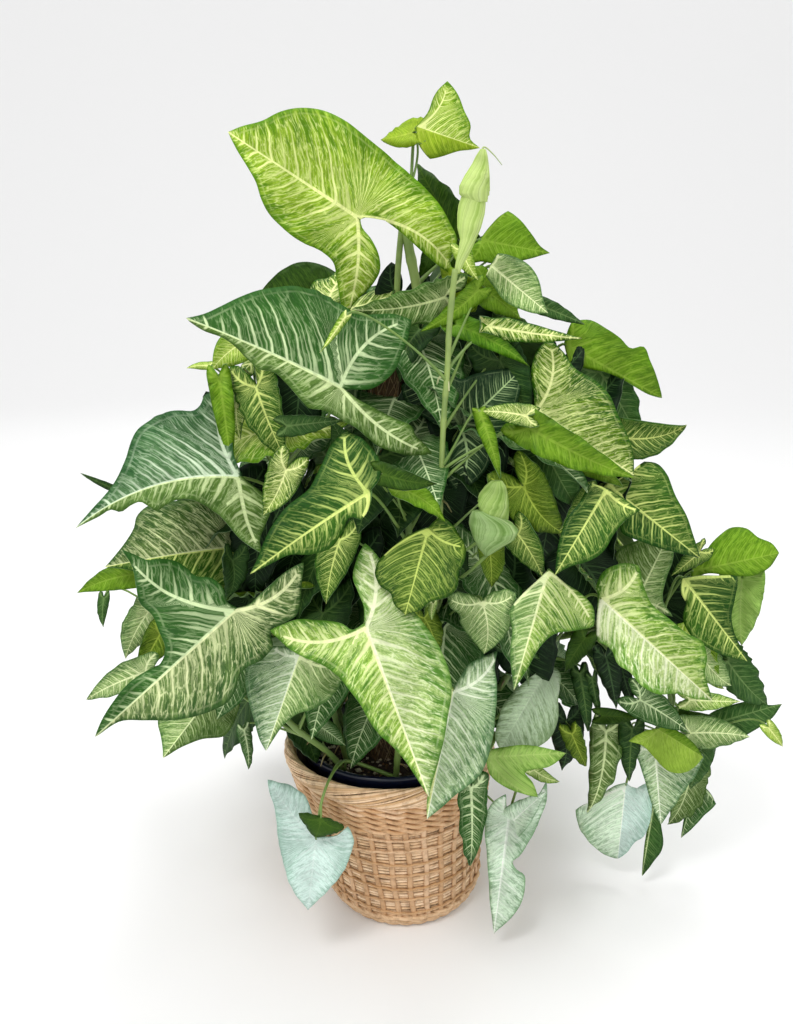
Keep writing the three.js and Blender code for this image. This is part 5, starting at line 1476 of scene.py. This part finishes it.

# Leaves inside the crown, all in the near-black "shade" look, which is painted shade: hub, tip.
INNER_LEAVES = [
    ((300, 520, -30), (270, 600, -40)), ((350, 560, -40), (330, 640, -50)),
    ((300, 600, -40), (330, 680, -60)), ((470, 420, -20), (500, 520, -30)),
    ((500, 500, -30), (470, 600, -40)), ((560, 470, -30), (540, 570, -40)),
    ((604, 480, -10), (616, 566, -20)), ((580, 560, -30), (610, 634, -40)),
    ((500, 600, -40), (540, 700, -50)), ((460, 640, -40), (470, 730, -60)),
    ((430, 430, -20), (400, 520, -30)), ((380, 520, -30), (400, 600, -50)),
    ((556, 372, -10), (534, 430, -20)), ((590, 400, -6), (570, 480, -16)),
    ((220, 500, -20), (190, 590, -30)), ((250, 600, -30), (220, 690, -40)),
    ((430, 560, -40), (420, 650, -50)), ((520, 420, -24), (500, 500, -30)),
    ((660, 600, 10), (680, 690, 0)), ((400, 300, -4), (380, 360, -10)),
    ((460, 310, -4), (480, 380, -10)), ((228, 420, -10), (236, 480, -20)),
    ((262, 530, -40), (256, 600, -50)), ((300, 380, -30), (290, 450, -40)),
    ((440, 490, -40), (450, 560, -50)),
]


def make_leaf(name, leaf, looks, seed, start, aim, node=None, slot="leaf_dark", thick=1.5,
              **shape):
    """A blade and its stalk in one piece."""
    build = Build(f"{name}_grown" if node else name, LEAF)
    blade(build, leaf, looks, seed, **shape)
    run = stalk_run(leaf, start, aim, BOWS.get(name, 0), ROUTES.get(name))
    build.add_plain(tube(run, lambda t: thick * (1.35 - .5 * min(t * 3, 1) - .1 * t)), "stalk",
                    STALK)
    build.finish(node, carries=Build.CORNER)


# Each node's material slot.
GREENS = {node["node"]: node["material_slot"] for node in frame["record"]["subparts"]}


def make_named_leaves():
    """The leaves that stand for CAD nodes: those that show, then those behind."""
    for k, (name, looks, stem, at, hub, tip, lobes, more) in enumerate(FRONT_LEAVES):
        leaf = front_leaf(hub, tip, lobes, drawn=OUTLINES.get(name, (None, None)), **more)
        make_leaf(name, leaf, looks, k + LEAF_SEEDS["front"],
                  *along_run(STEM_RUNS[stem], at), name, GREENS[name], step=3, wave=.016)
    for k, (name, look, stem, at, hub, bearing, dip, length) in enumerate(BACK_LEAVES):
        leaf = back_leaf(hub, bearing, dip, length)
        make_leaf(name, leaf, (look, look), k + LEAF_SEEDS["back"],
                  *along_run(STEM_RUNS[stem], at), name, GREENS[name], step=3.5, wave=.016)


def bent(rng, width):
    """How a small leaf is turned and folded; narrow ones stay as they show."""
    much = min(width / TYPICAL["width"], 1)
    return dict(turn=rng.uniform(-36, 36) * much,
                fold=TYPICAL["fold"] + rng.uniform(0, 26) * much,
                sweep=rng.uniform(-.1, .1) * much)


def make_small_leaves():
    """The small leaves that the drawing shows."""
    rng = random.Random(SEEDS["small"])
    for k, (hub, tip, look, width, *more) in enumerate(SMALL_LEAVES):
        shape = bent(rng, width)
        for change in more:
            shape.update(change)
        leaf = front_leaf(hub, tip, width=width, **shape)
        make_leaf(f"small_leaf_{k + 1:02d}", leaf, (look, look), k + LEAF_SEEDS["small"],
                  *nearest_stem(leaf["hub"]), thick=1.1, step=3, wave=.045,
                  droop=rng.uniform(0, .1), curl=rng.uniform(-.06, .12))


def make_inner_leaves():
    """Leaves inside the crown, darkened with painted shade."""
    rng = random.Random(SEEDS["inner"])
    width = .44
    for k, (hub, tip) in enumerate(INNER_LEAVES):
        leaf = front_leaf(hub, tip, width=width, **bent(rng, width))
        make_leaf(f"inner_leaf_{k + 1:02d}", leaf, ("shade", "shade"), k + LEAF_SEEDS["inner"],
                  *nearest_stem(leaf["hub"]), thick=1.1, step=5, wave=.03)


# How far the back of the crown reaches out at some heights.
CROWN = ((150, 150), (230, 205), (330, 215), (430, 180), (520, 130), (620, 60))

# The two layers of leaves that fill the crown's sides and back: up to how many leaves, the bearings
# and the parts of the crown's reach where they stand, their lengths, how far apart their hubs keep,
# and their looks.
CROWN_LOOKS = ("deep", "dark", "dark", "fresh", "pale", "lime", "speckled", "olive")
CROWN_LAYERS = ((46, (-25, 205), (.72, .98), (72, 118), 42, CROWN_LOOKS),
                (96, (-180, 180), (.3, .6), (60, 90), 34, CROWN_LOOKS[:3]))
MOST_TRIES = 4000


def crown_reach(height):
    """How far the back of the crown reaches out at a height."""
    for (z0, r0), (z1, r1) in zip(CROWN, CROWN[1:]):
        if height <= z1:
            return r0 + (r1 - r0) * (height - z0) / (z1 - z0)
    return CROWN[-1][1]


def inside_box(leaf):
    """Whether a leaf keeps inside the CAD box with its hub, its tip and its width."""
    wide = [abs(v) * leaf["length"] * .42 for v in leaf["right"]]
    return all(low / MM + w < v < high / MM - w
               for end in (leaf["hub"], leaf["hub"] + leaf["along"] * leaf["length"])
               for low, high, w, v in zip(*cad_box, wide, end))


def make_back_leaves():
    """Leaves that fill the crown's sides and back, inside the CAD box."""
    rng = random.Random(SEEDS["crown"])
    made = tries = 0
    hubs = [Vector(row[4]) for row in BACK_LEAVES]
    for until, bearings, outs, lengths, apart, looks in CROWN_LAYERS:
        while made < until and tries < MOST_TRIES:
            tries += 1
            bearing, height = rng.uniform(*bearings), rng.uniform(190, 560)
            out = crown_reach(height) * rng.uniform(*outs)
            length, dip = rng.uniform(*lengths), rng.uniform(20, 70)
            level = Vector(around(1, math.radians(bearing), 0))
            reach = length * math.cos(math.radians(dip))
            hub = Vector((0, 10, height)) + level * max(out - .55 * reach, 20)
            if any((hub - other).length < apart for other in hubs):
                continue
            leaf = back_leaf(hub, bearing + rng.uniform(-35, 35), dip, length,
                             rng.uniform(.34, .44), rng.uniform(-25, 25))
            if not inside_box(leaf):
                continue
            look = rng.choice(looks)
            made += 1
            make_leaf(f"crown_leaf_{made:02d}", leaf, (look, look), made + LEAF_SEEDS["crown"],
                      *nearest_stem(hub), thick=1.3, step=4, wave=.025)
            hubs.append(hub)


def make_extra_stems():
    """A second stem beside the main one, and an aerial root that hooks off the shoot."""
    for name, radius, path, colour in (
            ("stem_twin", 2.4, ((407, 190, -4), (401, 235, -6), (397, 290, -8), (398, 360, 0)),
             "pale_stem"),
            ("aerial_root", .7, ((437, 384, -68), (440, 377, -71), (447, 379, -71),
                                 (449, 391, -71)), "aerial_root")):
        build = Build(name, [LEAF[STALK]])
        build.add_plain(tube(curve_through([spot(place) for place in path], 12), radius, 10),
                        colour)
        build.finish(None)


# How the rolled leaf shows, from the top down: down, then its left and its right edge.
ROLL_OVER = ((149, 480, 486), (156, 475, 488), (164, 471, 489), (176, 463, 490), (186, 458, 490),
             (194, 458, 490), (202, 466, 489))
ROLL_UNDER = ((180, 466, 486), (196, 461, 487), (205, 458, 487), (214, 457, 486), (228, 457, 482),
              (239, 460, 477), (250, 458, 472), (262, 455, 465), (273, 453.5, 460))

# The young leaves in the middle: name, rows like those above, depth, seam, greens and foot.
YOUNG_ROLLS = (
    ("young_leaf_rolled", ((481, 491, 503), (486, 485, 507), (494, 479, 509), (503, 476, 510),
                           (512, 477, 510), (519, 484, 509), (524, 492, 506)),
     -92, 2.2, (112, 146, 62), (160, 184, 108), (498, 524)),
    ("young_leaf_opening", ((511, 472, 484), (516, 469, 500), (523, 468, 515), (530, 470, 521),
                            (538, 473, 517), (546, 477, 504), (555, 484, 490)),
     -97, 1.2, (98, 132, 62), (152, 178, 120), (487, 555)),
)


def add_roll(build, rows, near, phase, ground, glow):
    """A rolled part of a leaf in two greens, with the seam of its outer edge wound round it."""
    verts, pat, flat = [], [], []
    rings, sides = 40, 32
    for k, down in enumerate(np.linspace(rows[0][0], rows[-1][0], rings)):
        left, right = (float(np.interp(down, [r[0] for r in rows], [r[i] for r in rows]))
                       for i in (1, 2))
        a, b = spot((left, down, near)), spot((right, down, near))
        middle, half = (a + b) / 2, (b - a) / 2
        seam = phase + 2.4 * k / rings
        for i, angle in enumerate(turns(sides)):
            step = 1 - .14 * (((angle - seam) / TURN) % 1)
            depth = .7 * half.length * math.sin(angle)
            verts.append(middle + half * step * math.cos(angle) + Vector((0, depth * step, 0)))
            pat.append((5 * i / sides + .02 * k, .6, 6, 1))
            flat.append((angle * 6, k * 2, 9, 0))
    faces = [face[::-1] for face in ring_faces(rings, sides)]
    order = [v for face in faces for v in face]
    corner = dict(pat=np.array(pat)[order], flat=np.array(flat)[order],
                  amounts=np.tile((.3, .1, .6, .1), (len(order), 1)))
    for key, colour in (("ground", ground), ("glow", glow), ("vein", "roll_vein")):
        corner[key] = np.tile(rgba(colour), (len(order), 1))
    build.add(verts, faces, corner)


def make_new_leaf():
    """The rolled new leaf: an outer wrap over an inner one, and the hair-fine tip."""
    build = Build("new_leaf_rolled", [LEAF[TOP], LEAF[STALK]])
    for rows, near, phase in ((ROLL_UNDER, -69, 1.5), (ROLL_OVER, -70, 4.4)):
        add_roll(build, rows, near, phase, (154, 184, 88), (196, 213, 136))
    tip = [spot(p) for p in ((482, 150, -70), (484, 147, -70), (493, 154, -69), (502, 165, -68))]
    build.add_plain(tube(curve_through(tip, 8), lambda t: .75 - .5 * t, 6), "roll_tip", 1)
    build.finish("new_leaf", carries=Build.CORNER)


def make_young_leaves():
    """Two young leaves in the middle of the crown: one still rolled, one just opening below it."""
    for name, rows, near, phase, ground, glow, foot in YOUNG_ROLLS:
        build = Build(name, [LEAF[TOP], LEAF[STALK]])
        add_roll(build, rows, near, phase, ground, glow)
        low = spot((*foot, near))
        start, _ = nearest_stem(low)
        stalk = curve_through([start, (start + low) / 2 - Z * 6, low], 12)
        build.add_plain(tube(stalk, 1.3), "stalk", 1)
        build.finish(None, carries=Build.CORNER)


# ---- the stage ----


def make_backdrop():
    """A pale floor that sweeps up into a backdrop."""
    bend = [(2 + 2 * math.sin(t), 2 - 2 * math.cos(t)) for t in np.linspace(0, math.pi / 2, 24)]
    profile = [(-6, 0), *bend, (4, 8)]
    mesh = bpy.data.meshes.new("sweep")
    mesh.from_pydata([(x, y, z) for y, z in profile for x in (-9, 9)], [],
                     [(k, k + 1, k + 3, k + 2) for k in range(0, 2 * len(profile) - 2, 2)])
    mesh.polygons.foreach_set("use_smooth", [True] * len(mesh.polygons))
    sweep = put_in_scene("sweep", mesh)
    paint = Nodes("sweep_paint", .9)
    paint.shader.inputs["Base Color"].default_value = (.92, .92, .92, 1)
    mesh.materials.append(paint.material)


# The lamps: name, place, size in metres and power; all of them point at LIT.
LAMPS = (("key", (-.6, -.9, 2.0), .5, 15), ("fill", (1.5, -1.1, 1.2), 1.2, 2),
         ("top", (.3, .3, 2.1), .7, 11), ("back", (-.6, 1.7, 1.2), 1.6, 2))
LIT = Vector((.02, 0, .35))


def make_lights():
    """Soft lamps in bright, even surroundings."""
    world = bpy.data.worlds.new("studio")
    bpy.context.scene.world = world
    world.use_nodes = True
    background = world.node_tree.nodes["Background"]
    background.inputs[0].default_value = (1, 1, 1, 1)
    background.inputs[1].default_value = .9
    for name, place, size, power in LAMPS:
        data = bpy.data.lights.new(name, "AREA")
        data.size, data.energy = size, power
        lamp = put_in_scene(name, data)
        lamp.location = place
        lamp.rotation_euler = (LIT - Vector(place)).to_track_quat("-Z", "Y").to_euler()
    bpy.context.scene.view_settings.view_transform = "Standard"


def make_camera():
    """The camera at EYE, with the drawing's picture as its own."""
    data = bpy.data.cameras.new("camera")
    data.lens = SENSOR * REACH / DRAWING_HEIGHT
    data.clip_start, data.clip_end = .01, 30
    camera = put_in_scene("camera", data)
    camera.location = EYE * MM
    camera.rotation_euler = (math.radians(90) - PITCH, 0, 0)
    bpy.context.scene.camera = camera


make_basket()
make_pot()
make_soil()
make_pole()
make_stems()
make_named_leaves()
make_small_leaves()
make_inner_leaves()
make_extra_stems()
make_back_leaves()
make_new_leaf()
make_young_leaves()
make_backdrop()
make_lights()
make_camera()
